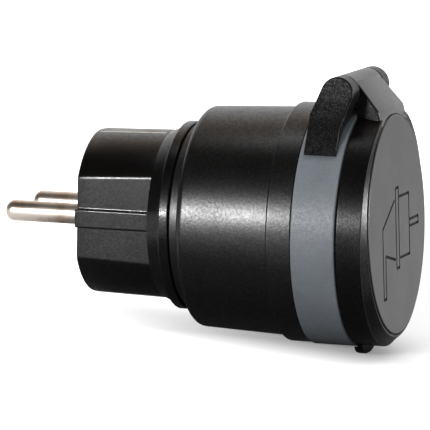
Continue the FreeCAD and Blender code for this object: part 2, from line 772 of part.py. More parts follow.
def lid():
    # A shallow cap with a leaning front, a recess for the disc, a finger tab at the bottom
    # and a web that rises to the knuckle.
    rim_start = ring_end + lid_rim_start
    cap = turned([
        (skirt_start, 0), (skirt_start, lid_radius, 0.3), (rim_start, lid_radius, 0.12), (rim_start, 0)])
    outer = Part.makeCircle(lid_radius - lid_rim_step, V(0, -rim_start, 0), V(0, -1, 0))
    inner = tilt(Part.makeCircle(lid_disc_radius + lid_disc_groove + lid_rim_width,
                                 V(0, -face_depth, lid_disc_rise), V(0, -1, 0)))
    rim = Part.makeLoft([Part.Wire([outer]), Part.Wire([inner])], True, True)
    cap = cap.fuse(rim)
    rise = tab_reach + 0.4
    tab_radius = (tab_half_width ** 2 + rise ** 2) / (2 * rise)
    tab_start = skirt_start - tab_over_ring
    tab = rod(0, tab_radius - lid_radius - tab_reach, tab_start, tab_start + tab_thickness, tab_radius)
    tab = tab.cut(block(-tab_radius, tab_radius, tab_start - 1, face_depth, 1.5 - lid_radius, lid_radius))
    tab = tab.cut(rod(0, 0, tab_start - 1, skirt_start, ring_radius + free_gap))
    cap = cap.fuse(tab)
    cap = cap.fuse(web())
    cavity = turned([
        (skirt_start - 5, 0), (skirt_start - 5, lid_bore), (lid_ceiling, lid_bore, 0.8),
        (lid_ceiling, 0)])
    recess = tilt(rod(0, lid_disc_rise, face_depth - lid_disc_thickness + lid_disc_proud,
                      face_depth + 3, lid_disc_radius + lid_disc_groove))
    return cap.cut(cavity).cut(recess).removeSplitter()


def web():
    # The arm between the lid and its knuckle. It fans out to the lid and lies in front of
    # the ears. The spring's room is bored into the knuckle's right-hand end.
    slope = math.radians(web_slope)
    shoulder = (hinge_depth + knuckle_radius * math.sin(slope), hinge_z + knuckle_radius * math.cos(slope))
    foot_z = lid_radius - 3.5
    foot = face_depth - lid_tilt_drop(foot_z) - 0.02
    bend_z = shoulder[1] - (foot - shoulder[0]) * math.tan(slope)
    side = side_plate([
        (hinge_depth, hinge_z), shoulder, (foot, bend_z, web_bend_round), (foot, foot_z),
        (foot - 2.4, foot_z - 3.0), (skirt_start + 0.1, foot_z - 3.0),
        (skirt_start + 0.1, ring_radius + free_gap),
        (hinge_depth + 2.4, ring_radius + free_gap)],
        -web_half_width - 1, web_half_width + 1)
    top, flare = knuckle_half_width - web_top_inset, hinge_depth + 6
    fan = top_plate([
        (-top, hinge_depth - 6), (top, hinge_depth - 6), (top, flare, 12.0),
        (web_half_width, face_depth - 1), (web_half_width, face_depth + 2),
        (-web_half_width, face_depth + 2), (-web_half_width, face_depth - 1), (-top, flare, 12.0)],
        0, hinge_z + 9)
    arm = side.common(fan)
    knuckle = cross_rod(hinge_depth, hinge_z, -knuckle_half_width, knuckle_half_width, knuckle_radius)
    arm = arm.fuse(knuckle)
    room = cross_rod(hinge_depth, hinge_z, knuckle_half_width - spring_room_length,
                     knuckle_half_width + 1, spring_room)
    bore = cross_rod(hinge_depth, hinge_z, -20, 20, hinge_pin_radius + hinge_gap)
    return arm.cut(room).cut(bore)


def lid_tilt_drop(z):
    # How far the leaning front lies behind its own middle at this height.
    return z * math.tan(math.radians(lid_tilt))


def lid_face():
    # The disc let into the lid's front.
    back = face_depth - lid_disc_thickness + lid_disc_proud + 0.02
    disc = turned([
        (back, 0), (back, lid_disc_radius, 0.2), (face_depth + lid_disc_proud, lid_disc_radius, 0.3),
        (face_depth + lid_disc_proud, 0)])
    disc.translate(V(0, 0, lid_disc_rise))
    return tilt(disc)


def lid_gasket():
    outer = lid_bore - fit_gap
    return turned([
        (gasket_depth, outer, 0.3), (lid_ceiling - 0.02, outer - 0.9), (lid_ceiling - 0.02, outer - 4.6),
        (gasket_depth, outer - 4.6, 0.3)])


def shutter_spring():
    # Two turns round the shutter's post, in the groove of the carrier.
    return coil(V(0, -(carrier_front - 2.2), 0), V(0, -1, 0), V(1, 0, 0), V(0, 0, 1),
                shutter_spring_radius, shutter_spring_wire, 0.95, 2, (0.2, 0.2))


def lid_spring():
    # Torsion spring round the hinge pin, between the floor of its room and the ear.
    turns = 6
    start = knuckle_half_width - spring_room_length + lid_spring_wire + 0.1
    pitch = (spring_room_length - 2 * lid_spring_wire - 0.1) / turns
    middle = (hinge_pin_radius + spring_room) / 2
    return coil(V(start, -hinge_depth, hinge_z), V(1, 0, 0), V(0, 0, -1), V(0, -1, 0),
                middle, lid_spring_wire, pitch, turns, (0.4, 0.4))


nodes = {
    "rear_housing": rear_housing(),
    "plug_pin_left": plug_pin(-pin_x),
    "plug_pin_right": plug_pin(pin_x),
    "pin_strip_left": both_sides(pin_strip())[1],
    "pin_strip_right": pin_strip(),
    "earth_strip_top": earth_strip(),
    "earth_strip_bottom": flipped(earth_strip()),
    "earth_bar_top": earth_bar(),
    "earth_bar_bottom": flipped(earth_bar()),
    "earth_clip_top": earth_clip(),
    "earth_clip_bottom": flipped(earth_clip()),
    "housing_seal": housing_seal(),
    "drum_housing": drum_housing(),
    "front_ring": front_ring(),
    "hinge_bracket": hinge_bracket(),
    "hinge_pin": hinge_pin(),
    "socket_insert": socket_insert(),
    "socket_rim": socket_rim(),
    "shutter": shutter(),
    "shutter_spring": shutter_spring(),
    "contact_carrier": contact_carrier(),
    "socket_contact_left": both_sides(socket_contact())[1],
    "socket_contact_right": socket_contact(),
    "circuit_board": circuit_board(),
    "relay": relay(),
    "film_capacitor": film_capacitor(),
    "electrolytic_capacitor": electrolytic_capacitor(),
    "bridge_rectifier": bridge_rectifier(),
    "varistor": varistor(),
    "surface_parts": surface_parts(),
    "receiver_board": receiver_board(),
    "receiver_chips": receiver_chips(),
    "antenna_coil": antenna_coil(),
    "long_screws": long_screws(),
    "lid": lid(),
    "lid_face": lid_face(),
    "lid_gasket": lid_gasket(),
    "lid_spring": lid_spring(),
}

os.makedirs("parts", exist_ok=True)
for name, shape in nodes.items():
    print(f"{name}: {len(shape.Solids)} solids, {shape.Volume:.1f} mm3, valid {shape.isValid()}")
    shape.exportStep(f"parts/{name}.step")
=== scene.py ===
import math
from contextlib import contextmanager
import bmesh
import bpy
from mathutils import Matrix, Vector


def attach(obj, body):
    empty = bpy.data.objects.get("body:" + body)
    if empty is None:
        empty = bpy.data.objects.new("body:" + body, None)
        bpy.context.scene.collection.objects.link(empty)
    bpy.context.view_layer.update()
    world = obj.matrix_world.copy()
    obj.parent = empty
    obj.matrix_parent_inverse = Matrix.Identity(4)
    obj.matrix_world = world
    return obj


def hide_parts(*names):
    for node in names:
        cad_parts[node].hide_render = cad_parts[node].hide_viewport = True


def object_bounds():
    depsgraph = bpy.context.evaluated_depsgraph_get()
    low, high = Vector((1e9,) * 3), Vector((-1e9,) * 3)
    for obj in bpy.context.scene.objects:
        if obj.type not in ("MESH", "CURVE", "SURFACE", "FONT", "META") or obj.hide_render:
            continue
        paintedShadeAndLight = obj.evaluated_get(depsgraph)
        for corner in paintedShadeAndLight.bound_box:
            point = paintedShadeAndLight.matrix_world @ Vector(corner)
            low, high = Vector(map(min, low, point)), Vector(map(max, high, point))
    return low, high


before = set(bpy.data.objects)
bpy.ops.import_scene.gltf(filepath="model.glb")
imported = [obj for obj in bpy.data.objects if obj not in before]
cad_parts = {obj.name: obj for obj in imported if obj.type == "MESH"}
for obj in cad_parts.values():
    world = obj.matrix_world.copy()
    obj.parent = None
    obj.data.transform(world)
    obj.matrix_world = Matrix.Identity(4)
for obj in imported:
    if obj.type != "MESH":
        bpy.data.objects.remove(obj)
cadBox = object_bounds()
mm = 0.001
print("frame loaded:", len(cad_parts), "nodes")


def setSockets(tree, node, sockets):
    # A value or another node's output for each socket, by its name or number
    for name, value in sockets.items():
        if hasattr(value, "is_linked"):
            tree.links.new(value, node.inputs[name])
        else:
            node.inputs[name].default_value = value


def addNode(tree, kind, sockets=None, **settings):
    # One node. Its attributes come by keyword and first, since they decide which sockets there are
    node = tree.nodes.new(kind)
    for name, value in settings.items():
        setattr(node, name, value)
    setSockets(tree, node, sockets or {})
    return node


def newTree(name, inputs, outputs, kind="ShaderNodeTree"):
    # inputs: (name, kind of socket, default) and outputs: (name, kind of socket)
    tree = bpy.data.node_groups.new(name, kind)
    for label, socketKind, default in inputs:
        socket = tree.interface.new_socket(label, in_out="INPUT", socket_type="NodeSocket" + socketKind)
        if default is not None:
            socket.default_value = default
    for label, socketKind in outputs:
        tree.interface.new_socket(label, in_out="OUTPUT", socket_type="NodeSocket" + socketKind)
    return tree, tree.nodes.new("NodeGroupInput").outputs, tree.nodes.new("NodeGroupOutput")


def mathNode(tree, operation, *terms):
    return addNode(tree, "ShaderNodeMath", dict(enumerate(terms)), operation=operation).outputs[0]


def largest(tree, values):
    result = values[0]
    for value in values[1:]:
        result = mathNode(tree, "MAXIMUM", result, value)
    return result


def vectorNode(tree, operation, sockets):
    node = addNode(tree, "ShaderNodeVectorMath", sockets, operation=operation)
    return node.outputs["Value" if operation in ("LENGTH", "DOT_PRODUCT") else "Vector"]


def axesOf(tree, vector):
    return addNode(tree, "ShaderNodeSeparateXYZ", {0: vector}).outputs


def mixNode(tree, kind, factor, a, b):
    # kind: FLOAT or RGBA
    sockets = {"Factor": factor, "A": a, "B": b}
    return addNode(tree, "ShaderNodeMix", sockets, data_type=kind).outputs["Result"]


def remap(tree, value, fromMin, fromMax, toMin=0.0, toMax=1.0):
    sockets = {"Value": value, "From Min": fromMin, "From Max": fromMax, "To Min": toMin, "To Max": toMax}
    return addNode(tree, "ShaderNodeMapRange", sockets, interpolation_type="SMOOTHSTEP").outputs["Result"]


def noiseNode(tree, vector, scale, detail, roughness=0.5):
    sockets = {"Vector": vector, "Scale": scale, "Detail": detail, "Roughness": roughness}
    return addNode(tree, "ShaderNodeTexNoise", sockets).outputs["Fac"]


def inCells(tree, vector, size):
    # The place counted in cells of this size, in millimetres
    return vectorNode(tree, "SCALE", {0: vector, "Scale": mathNode(tree, "DIVIDE", 1000.0, size)})


def cellsNode(tree, vector, feature):
    sockets = {"Vector": vector, "Scale": 1.0, "Randomness": 1.0}
    return addNode(tree, "ShaderNodeTexVoronoi", sockets, feature=feature).outputs


def buildGrainGroup():
    # Spark-eroded mould grain: shallow cells of one size, softened by noise. Size in millimetres
    group, given, out = newTree(
        "mouldGrain", [("Vector", "Vector", None), ("Size", "Float", 0.3), ("Cells", "Float", 0.5)],
        [("Height", "Float")])
    place = inCells(group, given["Vector"], given["Size"])
    noise = noiseNode(group, place, scale=1.0, detail=2.0, roughness=0.55)
    cells = cellsNode(group, place, "SMOOTH_F1")
    setSockets(group, out, {"Height": mixNode(group, "FLOAT", given["Cells"], noise, cells["Distance"])})
    return group


def buildSpeckleGroup():
    # The glint of the grain: every cell of the surface shines a little more or less. Size in millimetres
    group, given, out = newTree(
        "speckle", [("Vector", "Vector", None), ("Size", "Float", 0.4), ("From", "Float", 0.2),
                    ("To", "Float", 0.9), ("Weight", "Float", 0.5)], [("Glint", "Float")])
    cells = cellsNode(group, inCells(group, given["Vector"], given["Size"]), "F1")
    chance = addNode(group, "ShaderNodeSeparateColor", {"Color": cells["Color"]})
    glint = addNode(group, "ShaderNodeMapRange", {"Value": chance.outputs["Red"], "From Min": given["From"],
                                                  "From Max": given["To"], "To Max": given["Weight"]})
    setSockets(group, out, {"Glint": glint.outputs["Result"]})
    return group


def buildHandlingGroup():
    # Where hands and boxes have polished or dulled the surface: a slow cloud plus a few faint rubs
    group, given, out = newTree(
        "handling", [("Vector", "Vector", None), ("Low", "Float", 0.28), ("High", "Float", 0.36)],
        [("Roughness", "Float"), ("Cloud", "Float")])
    cloud = noiseNode(group, given["Vector"], scale=90.0, detail=4.0, roughness=0.6)
    rubs = addNode(group, "ShaderNodeMapping", {"Vector": given["Vector"], "Scale": (2600.0, 160.0, 900.0)})
    streaks = noiseNode(group, rubs.outputs[0], scale=1.0, detail=1.0)
    both = mathNode(group, "ADD", mathNode(group, "MULTIPLY", cloud, 0.8),
                    mathNode(group, "MULTIPLY", streaks, 0.2))
    soft = remap(group, both, 0.3, 0.7)
    rough = mixNode(group, "FLOAT", soft, given["Low"], given["High"])
    setSockets(group, out, {"Roughness": rough, "Cloud": soft})
    return group


def buildWearGroup():
    # Convex edges that have been rubbed: pointiness broken up by noise
    group, given, out = newTree(
        "edgeWear", [("Vector", "Vector", None), ("From", "Float", 0.52), ("To", "Float", 0.6)],
        [("Mask", "Float")])
    shape = addNode(group, "ShaderNodeNewGeometry")
    edge = addNode(group, "ShaderNodeMapRange", {"Value": shape.outputs["Pointiness"],
                                                 "From Min": given["From"], "From Max": given["To"]})
    patches = remap(group, noiseNode(group, given["Vector"], scale=700.0, detail=3.0), 0.35, 0.65)
    setSockets(group, out, {"Mask": mathNode(group, "MULTIPLY", edge.outputs["Result"], patches)})
    return group


def buildDrawnGroup():
    # Drawing and plating marks along Y on round metal
    group, given, out = newTree(
        "drawnMetal", [("Vector", "Vector", None), ("Fineness", "Float", 6.0)],
        [("Height", "Float"), ("Tarnish", "Float")])
    along = addNode(group, "ShaderNodeMapping", {"Vector": given["Vector"], "Scale": (1000.0, 25.0, 1000.0)})
    lines = noiseNode(group, along.outputs[0], given["Fineness"], detail=3.0)
    patches = noiseNode(group, given["Vector"], scale=260.0, detail=5.0)
    setSockets(group, out, {"Height": lines, "Tarnish": remap(group, patches, 0.42, 0.72)})
    return group


grainGroup = buildGrainGroup()
speckleGroup = buildSpeckleGroup()
handlingGroup = buildHandlingGroup()
wearGroup = buildWearGroup()
drawnGroup = buildDrawnGroup()


mouldedFinishes = {
    # colour, worn edge colour, roughness low and high, grain size and depth in mm, share of cells, specular
    "blackSatin": ((0.0019, 0.0017, 0.0016), (0.009, 0.009, 0.009), (0.30, 0.35), 0.30, 0.03, 0.5, 0.45),
    "lidSatin": ((0.0022, 0.0020, 0.0020), (0.009, 0.009, 0.009), (0.28, 0.34), 0.28, 0.02, 0.4, 0.17),
    # the arm's and knuckle's black plastic, made paler than the lid's own: painted sheen on the arm
    "armSatinPaintedSheen": ((0.010, 0.0095, 0.0092), (0.014, 0.014, 0.014), (0.28, 0.34), 0.26, 0.01, 0.4, 0.62),
    "discSatin": ((0.018, 0.018, 0.018), (0.03, 0.03, 0.03), (0.30, 0.36), 0.22, 0.003, 0.4, 0.58),
    "earGrain": ((0.0026, 0.0026, 0.0026), (0.010, 0.010, 0.010), (0.48, 0.56), 0.34, 0.06, 0.6, 0.08),
    "ringGrey": ((0.110, 0.122, 0.135), (0.17, 0.18, 0.19), (0.40, 0.48), 0.30, 0.03, 0.5, 0.3),
    "insertBlack": ((0.016, 0.016, 0.017), (0.03, 0.03, 0.03), (0.38, 0.48), 0.3, 0.012, 0.5, 0.5),
    "shutterCream": ((0.62, 0.60, 0.54), (0.7, 0.68, 0.62), (0.35, 0.45), 0.3, 0.008, 0.4, 0.5),
    "sealRubber": ((0.0022, 0.0022, 0.0028), (0.012, 0.012, 0.013), (0.34, 0.42), 0.26, 0.015, 0.4, 0.50),
    "gasketRubber": ((0.022, 0.022, 0.023), (0.04, 0.04, 0.04), (0.6, 0.75), 0.2, 0.012, 0.3, 0.4),
    "plugSatin": ((0.0018, 0.0016, 0.0015), (0.009, 0.009, 0.009), (0.22, 0.27), 0.34, 0.02, 0.5, 0.36),
    "lineDark": ((0.003, 0.003, 0.003), (0.004, 0.004, 0.004), (0.6, 0.7), 0.2, 0.01, 0.4, 0.2),
    "boardGreen": ((0.02, 0.13, 0.05), (0.05, 0.2, 0.08), (0.25, 0.4), 0.8, 0.01, 0.1, 0.5),
    "relayBlue": ((0.02, 0.07, 0.24), (0.05, 0.1, 0.3), (0.25, 0.35), 0.4, 0.008, 0.5, 0.5),
    "filmYellow": ((0.6, 0.42, 0.05), (0.65, 0.5, 0.1), (0.25, 0.38), 0.5, 0.01, 0.3, 0.5),
    "chipEpoxy": ((0.02, 0.02, 0.022), (0.04, 0.04, 0.04), (0.45, 0.6), 0.15, 0.01, 0.6, 0.5),
    "coatBlue": ((0.03, 0.09, 0.38), (0.06, 0.14, 0.45), (0.3, 0.45), 0.4, 0.02, 0.3, 0.5),
}
glints = {
    # cell size in mm, share of dull cells, share below which no cell is at its brightest, weight
    "blackSatin": (0.38, 0.1, 1.0, 0.5), "lidSatin": (0.36, 0.2, 1.0, 0.26),
    "armSatinPaintedSheen": (0.36, 0.3, 1.0, 0.12), "earGrain": (0.20, 0.50, 1.0, 0.75),
    "ringGrey": (0.38, 0.2, 1.0, 0.6), "sealRubber": (0.34, 0.2, 1.0, 0.5),
    "plugSatin": (0.38, 0.1, 1.0, 0.42),
}
mouldedSettings = {
    "handledLift": 1.25,                   # how much paler the handled places are
    "smoothRough": {"earGrain": 0.3},      # finishes with grain on the faces to the left and right only, and
                                           # how rough the others are
    "smoothGrain": 0.08,                   # share of the grain that these others keep
    "sideNormal": (0.80, 0.93),            # share of X in a side's normal
}

metalFinishes = {
    # colour, tarnish colour, roughness low and high, depth of the drawing marks in mm
    "nickelPin": ((0.86, 0.77, 0.69), (0.66, 0.50, 0.38), (0.32, 0.40), 0.002),
    # the earth strips' nickel, made darker than the pins': painted shade, so that the edge-on strips stay
    # dark
    "stripNickelPaintedShade": ((0.24, 0.225, 0.21), (0.16, 0.145, 0.13), (0.30, 0.42), 0.003),
    "stampedBrass": ((0.80, 0.62, 0.30), (0.5, 0.33, 0.14), (0.28, 0.42), 0.004),
    "zincSteel": ((0.60, 0.60, 0.61), (0.45, 0.45, 0.46), (0.25, 0.38), 0.004),
    "enamelledCopper": ((0.72, 0.32, 0.16), (0.5, 0.2, 0.1), (0.2, 0.3), 0.001),
    "canAluminium": ((0.70, 0.70, 0.72), (0.55, 0.55, 0.58), (0.25, 0.35), 0.002),
}


def startMaterial(name, rough):
    # Every finish has the same handling marks
    material = bpy.data.materials.new(name)
    material.use_nodes = True
    tree = material.node_tree
    coord = addNode(tree, "ShaderNodeTexCoord").outputs
    sockets = {"Vector": coord["Object"], "Low": rough[0], "High": rough[1]}
    handling = addNode(tree, "ShaderNodeGroup", sockets, node_tree=handlingGroup)
    return material, tree, tree.nodes["Principled BSDF"], coord, handling.outputs


def bumpNode(tree, height, depth):
    return addNode(tree, "ShaderNodeBump", {"Height": height, "Distance": depth * mm, "Strength": 1.0})


def mouldedMaterial(name, colour, worn, rough, grainSize, grainDepth, cells, specular):
    material, tree, shader, coord, handling = startMaterial(name, rough)
    place = coord["Object"]
    grain = addNode(tree, "ShaderNodeGroup", {"Vector": place, "Size": grainSize, "Cells": cells},
                    node_tree=grainGroup)
    wear = addNode(tree, "ShaderNodeGroup", {"Vector": place}, node_tree=wearGroup)
    paler = [part * mouldedSettings["handledLift"] for part in colour]
    base = mixNode(tree, "RGBA", handling["Cloud"], (*colour, 1), (*paler, 1))
    bump = bumpNode(tree, grain.outputs["Height"], grainDepth)
    setSockets(tree, shader, {
        "Base Color": mixNode(tree, "RGBA", wear.outputs["Mask"], base, (*worn, 1)),
        "Roughness": handling["Roughness"], "Normal": bump.outputs["Normal"], "Specular IOR Level": specular})
    if name in glints:
        size, start, end, weight = glints[name]
        glint = addNode(tree, "ShaderNodeGroup", {"Vector": place, "Size": size, "From": start, "To": end,
                                                  "Weight": weight}, node_tree=speckleGroup)
        setSockets(tree, shader, {"Coat Weight": glint.outputs["Glint"], "Coat Roughness": rough[0]})
    if name in mouldedSettings["smoothRough"]:
        across = axesOf(tree, vectorNode(tree, "ABSOLUTE", {0: coord["Normal"]}))["X"]
        side = remap(tree, across, *mouldedSettings["sideNormal"])
        keep = mouldedSettings["smoothGrain"]
        rough = mixNode(tree, "FLOAT", side, mouldedSettings["smoothRough"][name], handling["Roughness"])
        setSockets(tree, bump, {"Strength": mathNode(tree, "MULTIPLY_ADD", side, 1 - keep, keep)})
        setSockets(tree, shader, {"Roughness": rough})
    return material


def metalMaterial(name, colour, tarnish, rough, depth):
    material, tree, shader, coord, handling = startMaterial(name, rough)
    drawn = addNode(tree, "ShaderNodeGroup", {"Vector": coord["Object"]}, node_tree=drawnGroup).outputs
    setSockets(tree, shader, {
        "Base Color": mixNode(tree, "RGBA", drawn["Tarnish"], (*colour, 1), (*tarnish, 1)),
        "Roughness": handling["Roughness"], "Metallic": 1.0,
        "Normal": bumpNode(tree, drawn["Height"], depth).outputs["Normal"]})
    return material


finishes = {name: mouldedMaterial(name, *values) for name, values in mouldedFinishes.items()}
finishes.update({name: metalMaterial(name, *values) for name, values in metalFinishes.items()})

finishNodes = {
    # the CAD nodes of each finish
    "blackSatin": "rear_housing drum_housing", "lidSatin": "lid", "discSatin": "lid_face",
    "earGrain": "hinge_bracket", "ringGrey": "front_ring", "shutterCream": "shutter",
    "insertBlack": "socket_insert socket_rim contact_carrier", "sealRubber": "housing_seal",
    # the earth strips take the darkened nickel, a painted shade
    "gasketRubber": "lid_gasket", "stripNickelPaintedShade": "earth_strip_top earth_strip_bottom",
    "nickelPin": "plug_pin_left plug_pin_right earth_clip_top earth_clip_bottom",
    "stampedBrass": "earth_bar_top earth_bar_bottom pin_strip_left pin_strip_right "
                    "socket_contact_left socket_contact_right",
    "zincSteel": "hinge_pin lid_spring shutter_spring long_screws", "enamelledCopper": "antenna_coil",
    "boardGreen": "circuit_board receiver_board", "relayBlue": "relay", "filmYellow": "film_capacitor",
    "chipEpoxy": "bridge_rectifier surface_parts receiver_chips", "coatBlue": "varistor",
    "canAluminium": "electrolytic_capacitor",
}
nodeFinish = {node: finish for finish, nodes in finishNodes.items() for node in nodes.split()}
for name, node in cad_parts.items():
    node.data.materials.clear()
    node.data.materials.append(finishes[nodeFinish[name]])
print("finishes made:", len(finishes))


cameraSettings = {
    "place": (-941.1, -315.7, 123.9),      # mm
    "right": (0.2949, -0.9553, 0.0189),
    "up": (0.1136, 0.0547, 0.9919),
    "focalPixels": 4373.2,                 # of the photograph's 430
    "pictureWidth": 430,
    "sensor": 36.0,                        # mm
    "clip": (0.05, 20),                    # m
}


def addObject(name, data):
    thing = bpy.data.objects.new(name, data)
    bpy.context.scene.collection.objects.link(thing)
    return thing


def makeCamera(settings):
    data = bpy.data.cameras.new("camera")
    data.sensor_fit = "HORIZONTAL"
    data.sensor_width = settings["sensor"]
    data.lens = settings["focalPixels"] / settings["pictureWidth"] * settings["sensor"]
    data.clip_start, data.clip_end = settings["clip"]
    camera = addObject("camera", data)
    right = Vector(settings["right"]).normalized()
    back = right.cross(Vector(settings["up"])).normalized()
    turn = Matrix((right, back.cross(right), back)).transposed().to_4x4()
    camera.matrix_world = Matrix.Translation(Vector(settings["place"]) * mm) @ turn
    bpy.context.scene.camera = camera


makeCamera(cameraSettings)


studioSettings = {
    "floorSize": 6.0,                      # m
    "floorColour": (0.86, 0.86, 0.86),
    # painted shade and light: the floor's colour as all but camera rays find it, darker beside the object,
    # paler behind it, beside the pins and in front of the lid
    "floorNearShade": 0.18,                # how much of that mirrored rays find beside the object
    "floorFarShade": 0.85,                 # and farther out on the camera's side
    "floorReach": (0.040, 0.115),          # m from the middle, for those two
    "floorPinSide": (0.008, 0.022),        # m along Y, where it turns bright beside the pins
    "floorLidSide": (-0.090, -0.120),      # and in front of the lid
    "floorClear": (0.05, 0.12),            # m from the middle, where the bright share behind it sets in
    "floorAside": (0.03, 0.05, 0.0),       # m added to a place before its direction gives that share
    "floorLift": 0.22,                     # what camera rays see on top of the lit floor
    "floorFade": (0.16, 0.5),              # m from the middle, where the floor turns plain white
    "floorSlope": 0.1136,                  # rise along Y: it touches the finger tab and the drum's rear edge
    "floorTouch": (-0.0627, -0.0290),      # m, the tab's lowest place as (y, z)
    "shadowFront": (-0.004, 0.036),        # m towards the camera, where the shadow ends
    "shadowPinSide": (-0.055, 0.018),      # m along Y, where it ends beside the plug
    "shadowLidSide": (-0.070, -0.088),     # and in front of the lid
    "domeLevel": 0.45,                     # what the dome gives to matte surfaces
    "backLevel": 0.95,                     # the pale backdrop, as seen in reflections
    "backFade": (0.70, 1.0, 1.0, 0.12),    # from and to which height it fades, and its shares at these
    "darkLevel": 0.012,                    # the rest of the room, as seen in reflections
    "zenithColour": (1.0, 0.80, 0.64),
    "zenithFrom": (0.55, 0.9),             # heights between which this colour sets in
    "brightSide": (0.985, 0.17, 0.0),      # the backdrop stands on this side
    "brightFrom": (0.25, 0.86),            # cosines of the angle to it: dark below, bright above
}

lampSettings = {
    # direction from the object, distance in m, width and height in m, power in W, whether it is seen in
    # reflections, and whether it lights matte surfaces
    "windowStrip": ((-0.925, 0.368, 0.162), 0.7, (0.15, 0.05), 3.9, True, True),
    "topSoft": ((0.25, -0.2, 1.0), 1.2, (1.5, 1.5), 9.5, False, True),
    "edgeCard": ((0.228, -0.962, 0.115), 0.8, (0.07, 0.10), 6.0, True, False),
    "nearCard": ((-0.038, 0.130, 0.990), 0.208, (0.05, 0.05), 0.020, True, True),
    "frontCard": ((-0.30, -0.93, 0.06), 0.8, (0.05, 0.16), 0.4, True, True),
}


def brightShare(tree, vector, settings):
    # How far a direction points to the bright side, from 0 to 1
    flat = vectorNode(tree, "MULTIPLY", {0: vector, 1: (1.0, 1.0, 0.0)})
    unit = vectorNode(tree, "NORMALIZE", {0: flat})
    toward = vectorNode(tree, "DOT_PRODUCT", {0: unit, 1: settings["brightSide"]})
    return remap(tree, toward, *settings["brightFrom"])


def makeWorld(settings):
    # The dome: an even level for matte surfaces, and for mirrored rays a pale backdrop on one side
    # that fades towards the zenith, in a dark room
    world = bpy.data.worlds.new("studio")
    world.use_nodes = True
    tree = world.node_tree
    tree.nodes.clear()
    toward = addNode(tree, "ShaderNodeTexCoord").outputs["Generated"]
    height = axesOf(tree, toward)["Z"]
    back = mathNode(tree, "MULTIPLY", brightShare(tree, toward, settings),
                    remap(tree, height, *settings["backFade"]))
    room = mathNode(tree, "MULTIPLY_ADD", back, settings["backLevel"] - settings["darkLevel"],
                    settings["darkLevel"])
    rays = addNode(tree, "ShaderNodeLightPath").outputs
    mirrored = mathNode(tree, "MAXIMUM", rays["Is Glossy Ray"], rays["Is Transmission Ray"])
    level = mixNode(tree, "FLOAT", mirrored, settings["domeLevel"], room)
    seen = mixNode(tree, "FLOAT", rays["Is Camera Ray"], level, 1.0)
    warm = mathNode(tree, "MULTIPLY", remap(tree, height, *settings["zenithFrom"]), mirrored)
    tint = mixNode(tree, "RGBA", warm, (1, 1, 1, 1), (*settings["zenithColour"], 1))
    shade = addNode(tree, "ShaderNodeBackground", {"Color": tint, "Strength": seen})
    addNode(tree, "ShaderNodeOutputWorld", {"Surface": shade.outputs[0]})
    bpy.context.scene.world = world


def makeFloor(settings):
    # The floor's colour, for all but camera rays, is set by place: painted shade beside the object,
    # painted light behind it and beside the pins and the lid. Camera rays see it lit, with a glow on top,
    # painted light that leaves the shadow only near the underside
    half = settings["floorSize"] / 2
    touchY, touchZ = settings["floorTouch"]
    mesh = bpy.data.meshes.new("floor")
    mesh.from_pydata([(x, y, touchZ + (y - touchY) * settings["floorSlope"])
                      for x, y in ((-half, -half), (half, -half), (half, half), (-half, half))],
                     [], [(0, 1, 2, 3)])
    material = bpy.data.materials.new("paleFloor")
    material.use_nodes = True
    tree = material.node_tree
    tree.nodes.clear()
    seen = addNode(tree, "ShaderNodeLightPath").outputs["Is Camera Ray"]
    spot = addNode(tree, "ShaderNodeTexCoord").outputs["Object"]
    axes = axesOf(tree, spot)
    toCamera, depth = mathNode(tree, "MULTIPLY", axes["X"], -1.0), axes["Y"]
    away = vectorNode(tree, "LENGTH", {0: spot})
    aside = vectorNode(tree, "ADD", {0: spot, 1: settings["floorAside"]})
    behind = mathNode(tree, "MULTIPLY", brightShare(tree, aside, settings),
                      remap(tree, away, *settings["floorClear"]))
    far = settings["floorFarShade"]
    front = remap(tree, toCamera, *settings["floorReach"], settings["floorNearShade"], far)
    sides = [remap(tree, depth, *settings[name], 0.0, far) for name in ("floorPinSide", "floorLidSide")]
    paintedShadeAndLight = largest(tree, [seen, behind, front, *sides])
    colour = vectorNode(tree, "SCALE", {0: settings["floorColour"], "Scale": paintedShadeAndLight})
    plain = addNode(tree, "ShaderNodeBsdfDiffuse", {"Color": colour})
    lift = largest(tree, [remap(tree, value, *settings[reach], settings["floorLift"], 1.0)
                          for value, reach in ((away, "floorFade"), (toCamera, "shadowFront"),
                                               (depth, "shadowPinSide"), (depth, "shadowLidSide"))])
    glow = addNode(tree, "ShaderNodeEmission", {"Strength": mathNode(tree, "MULTIPLY", seen, lift)})
    both = addNode(tree, "ShaderNodeAddShader", {0: plain.outputs[0], 1: glow.outputs[0]})
    addNode(tree, "ShaderNodeOutputMaterial", {"Surface": both.outputs[0]})
    mesh.materials.append(material)
    addObject("floor", mesh)


def makeLamp(name, target, toward, distance, size, power, mirrored, matte):
    data = bpy.data.lights.new(name, "AREA")
    data.shape = "RECTANGLE"
    data.size, data.size_y = size
    data.energy = power
    lamp = addObject(name, data)
    direction = Vector(toward).normalized()
    lamp.location = target + direction * distance
    lamp.rotation_euler = direction.to_track_quat("Z", "Y").to_euler()
    lamp.visible_glossy = mirrored
    lamp.visible_diffuse = matte


bpy.context.scene.view_settings.view_transform = "Standard"
makeWorld(studioSettings)
makeFloor(studioSettings)
middle = (Vector(cadBox[0]) + Vector(cadBox[1])) / 2
for name, settings in lampSettings.items():
    makeLamp(name, middle, *settings)
print("studio lit")


hingeSettings = {"depth": 59.95, "height": 30.7}  # mm, the axis of the lid's hinge


